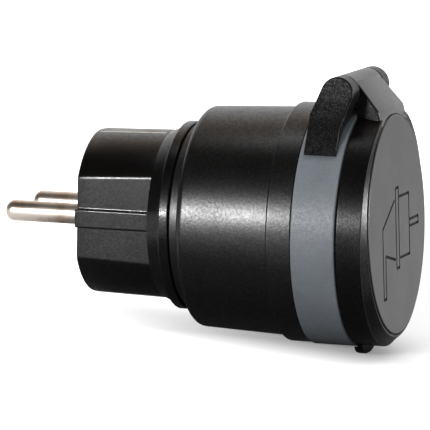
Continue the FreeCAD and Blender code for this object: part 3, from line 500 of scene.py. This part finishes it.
def roundedCorners(points, steps=5, support=0.12):
    # A profile with its corners rounded. A point is (depth, radius, rounding, lean), the last two optional.
    # A support point on each side of a rounding keeps the long faces beside it flat
    full = [tuple(point) + (0.0,) * (4 - len(point)) for point in points]
    out = []
    for i, (depth, radius, rounding, lean) in enumerate(full):
        corner = Vector((depth, radius))
        if not rounding:
            out.append((depth, radius, lean))
            continue
        sides = [(Vector(other[:2]) - corner, other[2]) for other in (full[i - 1], full[(i + 1) % len(full)])]
        one, two = (side.normalized() for side, taken in sides)
        half = one.angle(two) / 2
        reach = rounding / math.tan(half)
        centre = corner + (one + two).normalized() * (rounding / math.sin(half))
        start, end = corner + one * reach - centre, corner + two * reach - centre
        arc = [centre + start.lerp(end, k / steps).normalized() * rounding for k in range(steps + 1)]
        early, late = ([corner + side.normalized() * (reach + support)]
                       if side.length > reach + taken + 3 * support else [] for side, taken in sides)
        out += [(place.x, place.y, lean) for place in early + arc + late]
    return out


def newObject(name, verts, edges=(), faces=()):
    mesh = bpy.data.meshes.new(name)
    mesh.from_pydata([Vector(v) * mm for v in verts], list(edges), list(faces))
    return addObject(name, mesh)


def newGeometryTree(name, inputs):
    return newTree(name, [("Geometry", "Geometry", None), *inputs], [("Geometry", "Geometry")],
                   "GeometryNodeTree")


def finishTree(tree, geometry, finish, out):
    # Every tree ends this way, so that the piece is one plain mesh with its own material
    real = addNode(tree, "GeometryNodeRealizeInstances", {"Geometry": geometry})
    named = addNode(tree, "GeometryNodeSetMaterial", {"Geometry": real.outputs[0], "Material": finish})
    setSockets(tree, out, {"Geometry": named.outputs[0]})


def buildTurningTree():
    # A profile turned about the Y axis. The input mesh holds the profile as (depth, radius, lean share)
    tree, given, out = newGeometryTree("turning", [
        ("Segments", "Int", 160), ("Closed", "Int", 1), ("Lean", "Float", 0.0), ("Rise", "Float", 0.0),
        ("Centre", "Vector", (0.0, 0.0, 0.0)), ("Finish", "Material", None)])
    size = addNode(tree, "GeometryNodeAttributeDomainSize", {"Geometry": given["Geometry"]}, component="MESH")
    count = size.outputs["Point Count"]
    columns = mathNode(tree, "ADD", count, given["Closed"])
    rows = mathNode(tree, "ADD", given["Segments"], 1)
    grid = addNode(tree, "GeometryNodeMeshGrid",
                   {"Size X": 1.0, "Size Y": 1.0, "Vertices X": columns, "Vertices Y": rows})
    spot = addNode(tree, "GeometryNodeInputPosition").outputs[0]
    axes = axesOf(tree, spot)
    along = mathNode(tree, "MULTIPLY", mathNode(tree, "ADD", axes["X"], 0.5),
                     mathNode(tree, "SUBTRACT", columns, 1))
    which = mathNode(tree, "MODULO", mathNode(tree, "ROUND", along), count)
    sample = addNode(tree, "GeometryNodeSampleIndex",
                     {"Geometry": given["Geometry"], "Index": which, "Value": spot}, data_type="FLOAT_VECTOR")
    profile = axesOf(tree, sample.outputs["Value"])
    share = mathNode(tree, "MULTIPLY", profile["Z"], 1000.0)
    angle = mathNode(tree, "MULTIPLY", mathNode(tree, "ADD", axes["Y"], 0.5), 2 * math.pi)
    side = mathNode(tree, "MULTIPLY", profile["Y"], mathNode(tree, "SINE", angle))
    height = mathNode(tree, "MULTIPLY_ADD", profile["Y"], mathNode(tree, "COSINE", angle),
                      mathNode(tree, "MULTIPLY", share, given["Rise"]))
    leaning = mathNode(tree, "MULTIPLY", mathNode(tree, "MULTIPLY", share, given["Lean"]), height)
    depth = mathNode(tree, "SUBTRACT", leaning, profile["X"])
    place = addNode(tree, "ShaderNodeCombineXYZ", {"X": side, "Y": depth, "Z": height})
    moved = vectorNode(tree, "ADD", {0: place.outputs[0], 1: given["Centre"]})
    turned = addNode(tree, "GeometryNodeSetPosition", {"Geometry": grid.outputs["Mesh"], "Position": moved})
    joined = addNode(tree, "GeometryNodeMergeByDistance", {"Geometry": turned.outputs[0], "Distance": 1e-6})
    finishTree(tree, joined.outputs[0], given["Finish"], out)
    return tree


def buildWireTree():
    # Round wire along the edges of the input mesh, with closed ends
    tree, given, out = newGeometryTree("wireAlongPath", [
        ("Radius", "Float", 0.0003), ("Sides", "Int", 10), ("Finish", "Material", None)])
    path = addNode(tree, "GeometryNodeMeshToCurve", {"Mesh": given["Geometry"]})
    ring = addNode(tree, "GeometryNodeCurvePrimitiveCircle",
                   {"Resolution": given["Sides"], "Radius": given["Radius"]})
    wire = addNode(tree, "GeometryNodeCurveToMesh",
                   {"Curve": path.outputs[0], "Profile Curve": ring.outputs["Curve"], "Fill Caps": True})
    finishTree(tree, wire.outputs[0], given["Finish"], out)
    return tree


turningTree = buildTurningTree()
wireTree = buildWireTree()


def runTree(piece, tree, values):
    # Sets the inputs by their identifiers, then keeps the result as a plain mesh
    modifier = piece.modifiers.new(tree.name, "NODES")
    modifier.node_group = tree
    known = {item.name: item.identifier for item in tree.interface.items_tree
             if item.item_type == "SOCKET" and item.in_out == "INPUT"}
    for name, value in values.items():
        modifier[known[name]] = value
    keepResult(piece)


def keepResult(piece):
    # Applies every modifier
    result = bpy.data.meshes.new_from_object(piece.evaluated_get(bpy.context.evaluated_depsgraph_get()))
    piece.modifiers.clear()
    piece.data = result


@contextmanager
def editing(mesh):
    work = bmesh.new()
    work.from_mesh(mesh)
    yield work
    work.to_mesh(mesh)
    work.free()


def shadeMesh(mesh, sharpAngle=38.0, recalculate=True):
    with editing(mesh) as work:
        bmesh.ops.delete(work, geom=[e for e in work.edges if not e.link_faces], context="EDGES")
        bmesh.ops.delete(work, geom=[v for v in work.verts if not v.link_faces], context="VERTS")
        if recalculate:
            bmesh.ops.recalc_face_normals(work, faces=work.faces)
    mesh.shade_smooth()
    mesh.set_sharp_from_angle(angle=math.radians(sharpAngle))


def handIn(piece, body, slot, *nodes):
    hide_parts(*nodes)
    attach(piece, body)


def turnedPiece(name, settings, finish):
    points = roundedCorners(settings["profile"], settings.get("steps", 5))
    piece = newObject(name, points, [(i, i + 1) for i in range(len(points) - 1)])
    runTree(piece, turningTree, {
        "Segments": settings.get("segments", 160), "Closed": int(settings.get("closed", True)),
        "Lean": math.tan(math.radians(settings.get("lean", 0.0))),
        "Rise": settings.get("rise", 0.0) * mm,
        "Centre": Vector(settings.get("centre", (0, 0, 0))) * mm, "Finish": finishes[finish]})
    shadeMesh(piece.data)
    return piece


# The drum, with its rounded rear edge and the collar in front
drumSettings = {
    "profile": [(25.8, 19.3), (25.8, 25.0, 1.7), (47.3, 25.9, 0.15), (47.3, 27.0, 0.5), (53.15, 27.0, 0.25),
                (53.15, 25.7), (48.7, 25.7), (48.7, 23.0), (27.8, 23.0, 1.0), (27.8, 19.3)],
    "segments": 200,
}
drum = turnedPiece("drumShell", drumSettings, "blackSatin")
handIn(drum, "housing", "black_plastic", "drum_housing")

sealSettings = {
    "profile": [(23.15, 19.25), (23.15, 21.0, 0.4), (25.75, 21.0, 0.2), (25.75, 19.25)],
}
seal = turnedPiece("sealRing", sealSettings, "sealRubber")
handIn(seal, "housing", "black_rubber", "housing_seal")

# The grey ring, relieved at the top for the lid's knuckle
greyRingSettings = {
    "profile": [(53.2, 27.3, 0.3), (63.15, 27.3, 0.3), (63.15, 24.6), (48.8, 24.6), (48.8, 25.65),
                (53.2, 25.65)],
    "segments": 200,
    "reliefRadius": 4.15,
    "reliefHalfWidth": 10.75,
}


def skinLoops(name, loops):
    # A closed skin over loops of (x, y, z) points, with as many points each
    count = len(loops[0])
    faces = [(k * count + i, k * count + j, (k + 1) * count + j, (k + 1) * count + i)
             for k in range(len(loops) - 1) for i, j in zip(range(count), [*range(1, count), 0])]
    faces += [tuple(range(count)), tuple(range((len(loops) - 1) * count, len(loops) * count))]
    return newObject(name, [point for loop in loops for point in loop], faces=faces)


def rodAcross(name, depth, height, halfWidth, radius, count=72):
    # A plain round cutter that lies along X
    angles = [2 * math.pi * i / count for i in range(count)]
    circle = [(radius * math.sin(a) - depth, radius * math.cos(a) + height) for a in angles]
    return skinLoops(name, [[(x, y, z) for y, z in circle] for x in (-halfWidth, halfWidth)])


def mergeFlat(mesh, within=0.05):
    # Faces that lie in one plane, within so many degrees, become one face
    with editing(mesh) as work:
        bmesh.ops.dissolve_limit(work, angle_limit=math.radians(within), verts=work.verts, edges=work.edges)


def cutAway(piece, cutter, material=None):
    # Subtracts the cutter and removes it
    with editing(cutter.data) as work:
        bmesh.ops.recalc_face_normals(work, faces=work.faces)
    if material:
        cutter.data.materials.clear()
        cutter.data.materials.append(material)
    modifier = piece.modifiers.new("cut", "BOOLEAN")
    modifier.operation = "DIFFERENCE"
    modifier.solver = "EXACT"
    modifier.use_self = True
    modifier.object = cutter
    if material:
        modifier.material_mode = "TRANSFER"
    keepResult(piece)
    bpy.data.objects.remove(cutter)
    shadeMesh(piece.data, recalculate=False)


greyRing = turnedPiece("greyRing", greyRingSettings, "ringGrey")
cutAway(greyRing, rodAcross("reliefCutter", hingeSettings["depth"], hingeSettings["height"],
                            greyRingSettings["reliefHalfWidth"], greyRingSettings["reliefRadius"]))
handIn(greyRing, "housing", "grey_plastic", "front_ring")

rimSettings = {
    "profile": [(65.15, 21.05), (66.75, 21.05, 0.3), (66.75, 24.55, 0.5), (48.8, 24.55), (48.8, 23.25),
                (65.15, 23.25)],
}
wellRim = turnedPiece("wellRim", rimSettings, "insertBlack")
handIn(wellRim, "housing", "insert_plastic", "socket_rim")

gasketSettings = {
    "profile": [(66.9, 25.1, 0.3), (67.98, 24.2), (67.98, 20.5), (66.9, 20.5, 0.3)],
}
gasket = turnedPiece("lidSeal", gasketSettings, "gasketRubber")
handIn(gasket, "lid", "black_rubber", "lid_gasket")

# Solid pins: a rounded tip, a shoulder in the moulded face and a riveted head behind it
pinSettings = {
    "profile": [(-19.0, 0.0), (-19.0, 2.4, 2.0), (0.15, 2.4), (0.15, 1.9), (2.6, 1.9), (2.6, 3.3, 0.2),
                (3.5, 3.3, 0.2), (3.5, 0.0)],
    "closed": False, "segments": 72, "steps": 10, "pinX": 9.5,
}
for side, x in (("Left", -pinSettings["pinX"]), ("Right", pinSettings["pinX"])):
    pin = turnedPiece("plugPin" + side, dict(pinSettings, centre=(x, 0, 0)), "nickelPin")
    handIn(pin, "housing", "nickel", "plug_pin_" + side.lower())
print("turned pieces made")

# The plug's body: a flat and a rib on each side, a cone and a flange
plugBodySettings = {
    "radius": 18.65, "draft": 0.4, "length": 17.5, "flat": 16.2, "ribReach": 18.0, "ribHalfWidth": 2.1,
    "flatEdge": 0.5, "ribEdge": 0.32, "faceRound": 0.5, "arcSteps": 30,
    "ribSupport": 0.15, "flatSupport": 0.2,  # points beside the rounded edges
    "ribRoot": [(0.12, 0.0), (0.03, 0.04), (0.0, 0.14), (0.0, 0.3)],  # from where rib and flat would meet
    "sideShares": (0.35, 0.7, 1.0),        # of the length, for its sections
    "front": [(20.8, 20.5, 0.8), (20.8, 21.4, 0.3), (23.1, 21.4, 0.3), (23.1, 19.2), (28.0, 19.2),
              (28.0, 16.85)],
    "coneStart": (0.01, 0.02),             # depth and radius beyond the sides' end
    "wall": 1.8, "bore": 16.85, "flatBore": 14.4, "boreLead": 0.3,
}


def plugSection(settings, radius, inset=0.0):
    # One quarter is worked out from the rib's middle to the top, then mirrored round
    flat, rib = settings["flat"] - inset, settings["ribReach"] - inset
    half, edge, ribEdge = settings["ribHalfWidth"] - inset * 0.5, settings["flatEdge"], settings["ribEdge"]
    outer = radius - inset
    corner = math.sqrt(outer * outer - flat * flat)
    quarter = [(rib, 0.0), (rib, half - ribEdge - settings["ribSupport"])]
    for k in range(4):
        angle = math.radians(30 * k)
        quarter.append((rib - ribEdge + ribEdge * math.cos(angle),
                        half - ribEdge + ribEdge * math.sin(angle)))
    quarter += [(flat + out, half + up) for out, up in settings["ribRoot"]]
    quarter += [(flat, (half + corner) / 2), (flat, corner - edge - settings["flatSupport"])]
    # the flat's edge: a small arc from the flat to the round side
    reach = math.atan2(corner, flat) + edge / outer
    start, tip = Vector((flat, corner - edge)), Vector((flat, corner))
    end = Vector((outer * math.cos(reach), outer * math.sin(reach)))
    for t in (0.0, 0.25, 0.5, 0.75, 1.0):
        quarter.append(tuple(start * (1 - t) ** 2 + tip * 2 * t * (1 - t) + end * t * t))
    steps = settings["arcSteps"]
    for k in range(1, steps + 1):
        angle = reach + (math.pi / 2 - reach) * k / steps
        quarter.append((outer * math.cos(angle), outer * math.sin(angle)))
    upper = quarter + [(-x, z) for x, z in quarter[-2::-1]]
    return upper + [(x, -z) for x, z in upper[-2:0:-1]]


def roundSection(section, radius, flat=math.inf):
    # A circle, or one with a flat on each side, on the same spokes as the section
    points = []
    for x, z in section:
        angle = math.atan2(z, x)
        px, pz = radius * math.cos(angle), radius * math.sin(angle)
        if abs(px) > flat:
            px, pz = math.copysign(flat, px), pz * flat / abs(px)
        points.append((px, pz))
    return points


def loftLoops(name, loops):
    # loops: (depth, [(x, z), ...]) with as many points each
    piece = skinLoops(name, [[(x, -depth, z) for x, z in points] for depth, points in loops])
    with editing(piece.data) as work:
        bmesh.ops.remove_doubles(work, verts=work.verts, dist=1e-7)
        bmesh.ops.dissolve_degenerate(work, edges=work.edges, dist=1e-7)
    return piece


def makePlugBody(settings):
    rounding, outer, length, bore = (settings[key] for key in ("faceRound", "radius", "length", "bore"))
    loops = []
    for k in range(4, -1, -1):
        angle = math.radians(22.5 * k)
        loops.append((rounding * (1 - math.sin(angle)),
                      plugSection(settings, outer, rounding * (1 - math.cos(angle)))))
    loops += [(length * share, plugSection(settings, outer + settings["draft"] * share))
              for share in settings["sideShares"]]
    spokes = loops[-1][1]
    beyond, wider = settings["coneStart"]
    wide = outer + settings["draft"] + wider
    front = roundedCorners([(length, wide)] + settings["front"], 4)
    rings = [(length + beyond, wide), *[point[:2] for point in front[1:]],
             (length + settings["boreLead"], bore)]
    loops += [(depth, roundSection(spokes, radius)) for depth, radius in rings]
    loops += [(depth, roundSection(spokes, bore, settings["flatBore"]))
              for depth in (length, settings["wall"])]
    piece = loftLoops("plugBody", loops)
    piece.data.materials.append(finishes["plugSatin"])
    shadeMesh(piece.data, sharpAngle=32.0)
    return piece


plugBody = makePlugBody(plugBodySettings)
handIn(plugBody, "housing", "black_plastic", "rear_housing")
print("plug body made")

# The lid's shell: the skirt, a step, the leaning band and the recess for the disc
lidShellSettings = {
    "profile": [(68.0, 0.0), (68.0, 25.2, 0.8), (63.4, 25.2), (63.4, 27.0, 0.3), (69.1, 27.0, 0.14),
                (69.14, 26.82), (69.21, 26.708), (70.15, 25.2, 0.1, 1.0), (70.15, 24.85, 0.0, 1.0),
                (69.55, 24.85, 0.0, 1.0), (69.55, 0.0, 0.0, 1.0)],
    "closed": False, "segments": 220, "lean": 2.7, "rise": 0.5,
}
lidShell = turnedPiece("lidShell", lidShellSettings, "lidSatin")

# The arm from the lid to the knuckle, as sections across it
armSettings = {
    "slope": 49.0, "steep": 76.0,          # degrees below level: the long face and the short one in front
    "bendHeight": 26.7, "bendRound": 1.3, "endHeight": 23.4,
    "edge": 0.45, "underEdge": 0.22,
    "underHeight": 27.6, "underStart": 62.35, "underEnd": 68.4,
    "rootDepth": 63.5, "rootStep": 0.1, "rootHeight": 20.5,
    "slopeDepths": (64.6, 65.8, 67.0),     # where the long face has further sections
    "knuckleSteps": 7, "bendSteps": 6,
    "halfWidths": (10.0, 11.0), "flare": (63.2, 69.0),
    "plug": [(62.0, 0.0), (62.0, 26.0), (68.5, 26.0), (68.5, 25.36), (73.0, 25.36), (73.0, 0.0)],
    "trimHalfWidth": 10.5, "trimEnd": 73.0, "trimTop": 34.0, "trimGap": 0.02,
    "sideNormal": 0.9,                     # least share of X in the normal of a face with the sides' finish
}
bendShare = 0.3                            # of a rounded edge's radius: how far in its middle lies


def armTopLine(settings):
    # Round the knuckle, straight down the slope, and round again into the lid's front
    slope, steep = math.radians(settings["slope"]), math.radians(settings["steep"])

    def arc(centre, radius, first, last, steps):
        angles = [first + (last - first) * k / steps for k in range(steps + 1)]
        return [(centre[0] + math.sin(a) * radius, centre[1] + math.cos(a) * radius) for a in angles]

    rows = arc((hingeSettings["depth"], hingeSettings["height"]), knuckleSettings["radius"], 0.0, slope,
               settings["knuckleSteps"])
    shoulder, root = rows[-1], settings["rootDepth"]
    for depth in (root, root + settings["rootStep"], *settings["slopeDepths"]):
        rows.append((depth, shoulder[1] - (depth - shoulder[0]) * math.tan(slope)))
    bend, turn, end = settings["bendHeight"], settings["bendRound"], settings["endHeight"]
    corner = Vector((shoulder[0] + (shoulder[1] - bend) / math.tan(slope), bend))
    first = corner - Vector((math.cos(slope), -math.sin(slope))) * turn * math.tan((steep - slope) / 2)
    centre = first - Vector((math.sin(slope), math.cos(slope))) * turn
    rows += arc(centre, turn, slope, steep, settings["bendSteps"])
    depth, height = rows[-1]
    rows.append((depth + (height - end) / math.tan(steep), end))
    return rows


def armUnderside(depth, settings):
    if depth > settings["rootDepth"] + settings["rootStep"] / 2:
        return settings["rootHeight"]
    start, under = settings["underStart"], settings["underHeight"]
    back = max(0.0, start - depth) / (start - hingeSettings["depth"])
    return under + (hingeSettings["height"] - under) * back


def makeArm(settings):
    # A row of rounded sections, one for each point of the top line
    rows = armTopLine(settings)
    edge, underEdge = settings["edge"], settings["underEdge"]
    bend = underEdge * bendShare
    narrow, wide = settings["halfWidths"]
    start, end = settings["flare"]
    loops = []
    for i, (depth, top) in enumerate(rows):
        before, after = rows[max(i - 1, 0)], rows[min(i + 1, len(rows) - 1)]
        along = Vector((after[0] - before[0], after[1] - before[1])).normalized()
        normal = Vector((-along.y, along.x))
        t = max(0.0, min(1.0, (depth - start) / (end - start)))
        half = narrow + (wide - narrow) * t * t * (3 - 2 * t)
        under = Vector((min(depth, settings["underEnd"]), armUnderside(depth, settings)))
        side = [(half - underEdge, under), (half - bend, under + Vector((0, bend))),
                (half, under + Vector((0, underEdge)))]
        for k in range(5):
            angle = math.radians(22.5 * k)
            side.append((half - edge * (1 - math.cos(angle)),
                         Vector((depth, top)) - normal * edge * (1 - math.sin(angle))))
        loops.append([(x, -point.x, point.y) for x, point in side + [(-x, point) for x, point in side[::-1]]])
    piece = skinLoops("lidArm", loops)
    # the arm takes the paler black, a painted sheen, and its sides take the grained finish
    for finish in ("armSatinPaintedSheen", "earGrain"):
        piece.data.materials.append(finishes[finish])
    shadeMesh(piece.data, sharpAngle=40.0)
    for polygon in piece.data.polygons:
        polygon.material_index = int(abs(polygon.normal.x) > settings["sideNormal"])
    inside = {"profile": settings["plug"], "closed": False, "segments": 180}
    cutAway(piece, turnedPiece("lidInside", inside, "armSatinPaintedSheen"))
    return piece


def trimBelowArm(shell, settings):
    # Nothing of the lid's own edge stands above the arm's top
    half, end, top, gap = (settings["trim" + key] for key in ("HalfWidth", "End", "Top", "Gap"))
    line = [(depth - gap, height - gap)
            for depth, height in armTopLine(settings)[settings["knuckleSteps"] + 1:]]
    outline = line + [(end, line[-1][1]), (end, top), (line[0][0], top)]
    cutAway(shell, skinLoops("edgeTrim", [[(x, -depth, height) for depth, height in outline]
                                          for x in (-half, half)]))


# The knuckle, with the spring's room bored into one end
knuckleSettings = {
    "radius": 3.7,
    "profile": [(-10.3, 1.31), (-10.3, 3.7, 0.25), (10.3, 3.7, 0.25), (10.3, 3.1), (1.7, 3.1), (1.7, 1.31)],
    "segments": 96,
}
lidArm = makeArm(armSettings)
trimBelowArm(lidShell, armSettings)
# the knuckle takes the same paler black, a painted sheen
knuckle = turnedPiece("lidKnuckle", knuckleSettings, "armSatinPaintedSheen")
hinge = Vector((0, -hingeSettings["depth"], hingeSettings["height"])) * mm
knuckle.data.transform(Matrix.Translation(hinge) @ Matrix.Rotation(math.radians(90), 4, "Z"))
shadeMesh(knuckle.data)

# The finger tab under the lid: a flat half-round, thinner towards its edge
tabSettings = {
    "halfWidth": 6.0, "start": 62.45, "end": 64.6, "edge": 0.35, "fullness": 0.85,
    "top": -25.6, "bottom": -29.0, "arcSteps": 24, "topSteps": 12,
    "lipEnd": 63.4, "lipRadius": 27.45,    # behind this depth it stays outside the grey ring
    "lipStep": 0.02,
}


def makeTab(settings):
    start, end, edge, lip, top = (settings[key] for key in ("start", "end", "edge", "lipEnd", "top"))
    bend, full = edge * bendShare, settings["fullness"]
    arcSteps, topSteps = settings["arcSteps"], settings["topSteps"]
    loops = []
    for depth, inset in ((start, edge), (start + bend, bend), (start + edge, 0.0), (lip, 0.0),
                         (lip + settings["lipStep"], 0.0), (end - edge, 0.0), (end - bend, bend),
                         (end, edge)):
        half, reach = settings["halfWidth"] - inset, top - settings["bottom"] - inset
        points = []
        for k in range(arcSteps + 1):
            angle = math.pi * (k / arcSteps - 0.5)
            across, down = math.sin(angle), math.cos(angle)
            points.append((half * math.copysign(abs(across) ** full, across),
                           top - reach * max(0.0, down) ** full))
        points += [(half * (1 - 2 * k / topSteps), top) for k in range(1, topSteps)]
        if depth <= lip:
            points = [(x, min(z, -math.sqrt(settings["lipRadius"] ** 2 - x * x))) for x, z in points]
        loops.append((depth, points))
    piece = loftLoops("lidTab", loops)
    piece.data.materials.append(finishes["lidSatin"])
    shadeMesh(piece.data, sharpAngle=40.0)
    return piece


lidTab = makeTab(tabSettings)
for piece in (lidShell, lidArm, knuckle, lidTab):
    handIn(piece, "lid", "black_plastic", "lid")
print("lid made")

# The disc in the lid's front, with the pictogram of a plug cut into it as thin lines
discSettings = {
    "profile": [(69.57, 0.0, 0.0, 1.0), (69.57, 24.6, 0.2, 1.0), (70.45, 24.6, 0.3, 1.0),
                (70.45, 0.0, 0.0, 1.0)],
    "closed": False, "segments": 220, "lean": 2.7, "rise": 0.5,
    "face": 70.45, "flatFrom": 0.9995,     # cosine to the front's normal from which a face is shaded flat
}
pictogramSettings = {
    # (x, z) corners of each line. Seen from the front, +x is to the right
    "strokes": {
        "cord": [(-10.7, -5.7), (-10.7, -15.0), (-12.8, -15.0), (-12.8, 0.6), (-2.4, 6.1)],
        "body": [(-10.7, -5.5), (-2.4, -7.2)],
        "flange": [(-1.3, 8.7), (-1.3, -9.3), (1.2, -9.3), (1.2, 8.7), (-1.3, 8.7)],
        "block": [(1.2, 6.6), (10.2, 6.6), (10.2, -7.2), (1.2, -7.2)],
        "prong": [(10.2, 0.5), (18.2, 0.5), (18.2, -1.0), (10.2, -1.0)],
    },
    "lineRadius": 0.32, "sides": 8,
    "overrun": 0.6,                        # of the radius: so far past its corners a stroke runs on
}


def makeDisc(settings, lines):
    disc = turnedPiece("lidDisc", settings, "discSatin")
    lean = math.tan(math.radians(settings["lean"]))
    verts, edges = [], []
    for corners in lines["strokes"].values():
        for start, end in zip(corners, corners[1:]):
            reach = (Vector(end) - Vector(start)).normalized() * lines["lineRadius"] * lines["overrun"]
            edges.append((len(verts), len(verts) + 1))
            verts += [(x, z * lean - settings["face"], z)
                      for x, z in (Vector(start) - reach, Vector(end) + reach)]
    cutter = newObject("pictogramLines", verts, edges)
    runTree(cutter, wireTree, {"Radius": lines["lineRadius"] * mm, "Sides": lines["sides"],
                               "Finish": finishes["lineDark"]})
    front = Vector((0, -1, lean)).normalized()
    mergeFlat(disc.data)
    cutAway(disc, cutter, finishes["lineDark"])
    for polygon in disc.data.polygons:
        if polygon.normal.dot(front) > settings["flatFrom"]:
            polygon.use_smooth = False
    return disc


disc = makeDisc(discSettings, pictogramSettings)
handIn(disc, "lid", "lid_disc", "lid_face")
print("disc made:", len(disc.data.polygons), "faces")

# Springs and the aerial: one wire along a helix with a short leg at each end
coilSettings = {
    "lidSpring": dict(node="lid_spring", start=(2.15, -59.95, 30.7), along=(1, 0, 0), first=(0, 0, -1),
                      second=(0, -1, 0), radius=2.175, wire=0.35, pitch=1.3, turns=6, leg=0.4,
                      finish="zincSteel", slot="steel"),
    "shutterSpring": dict(node="shutter_spring", start=(0, -42.75, 0), along=(0, -1, 0), first=(1, 0, 0),
                          second=(0, 0, 1), radius=3.15, wire=0.25, pitch=0.95, turns=2, leg=0.2,
                          finish="zincSteel", slot="steel"),
    "aerialCoil": dict(node="antenna_coil", start=(3.2, -14.5, 12.0), along=(1, 0, 0), first=(0, 0, -1),
                       second=(0, 1, 0), radius=1.8, wire=0.35, pitch=1.17, turns=5, leg=0.3,
                       finish="enamelledCopper", slot="copper"),
}


def makeCoil(name, settings, perTurn=32, sides=12):
    start, along, first, second = (Vector(settings[key]) for key in ("start", "along", "first", "second"))
    points = []
    for i in range(settings["turns"] * perTurn + 1):
        angle = 2 * math.pi * i / perTurn
        spread = first * math.cos(angle) + second * math.sin(angle)
        points.append(start + along * (settings["pitch"] * i / perTurn) + spread * settings["radius"])
    points.insert(0, points[0] + (points[0] - points[1]).normalized() * settings["leg"])
    points.append(points[-1] + (points[-1] - points[-2]).normalized() * settings["leg"])
    piece = newObject(name, points, [(i, i + 1) for i in range(len(points) - 1)])
    runTree(piece, wireTree, {"Radius": settings["wire"] * mm, "Sides": sides,
                              "Finish": finishes[settings["finish"]]})
    shadeMesh(piece.data, sharpAngle=50.0)
    handIn(piece, "housing", settings["slot"], settings["node"])


for name, settings in coilSettings.items():
    makeCoil(name, settings)
print("springs and aerial wound")
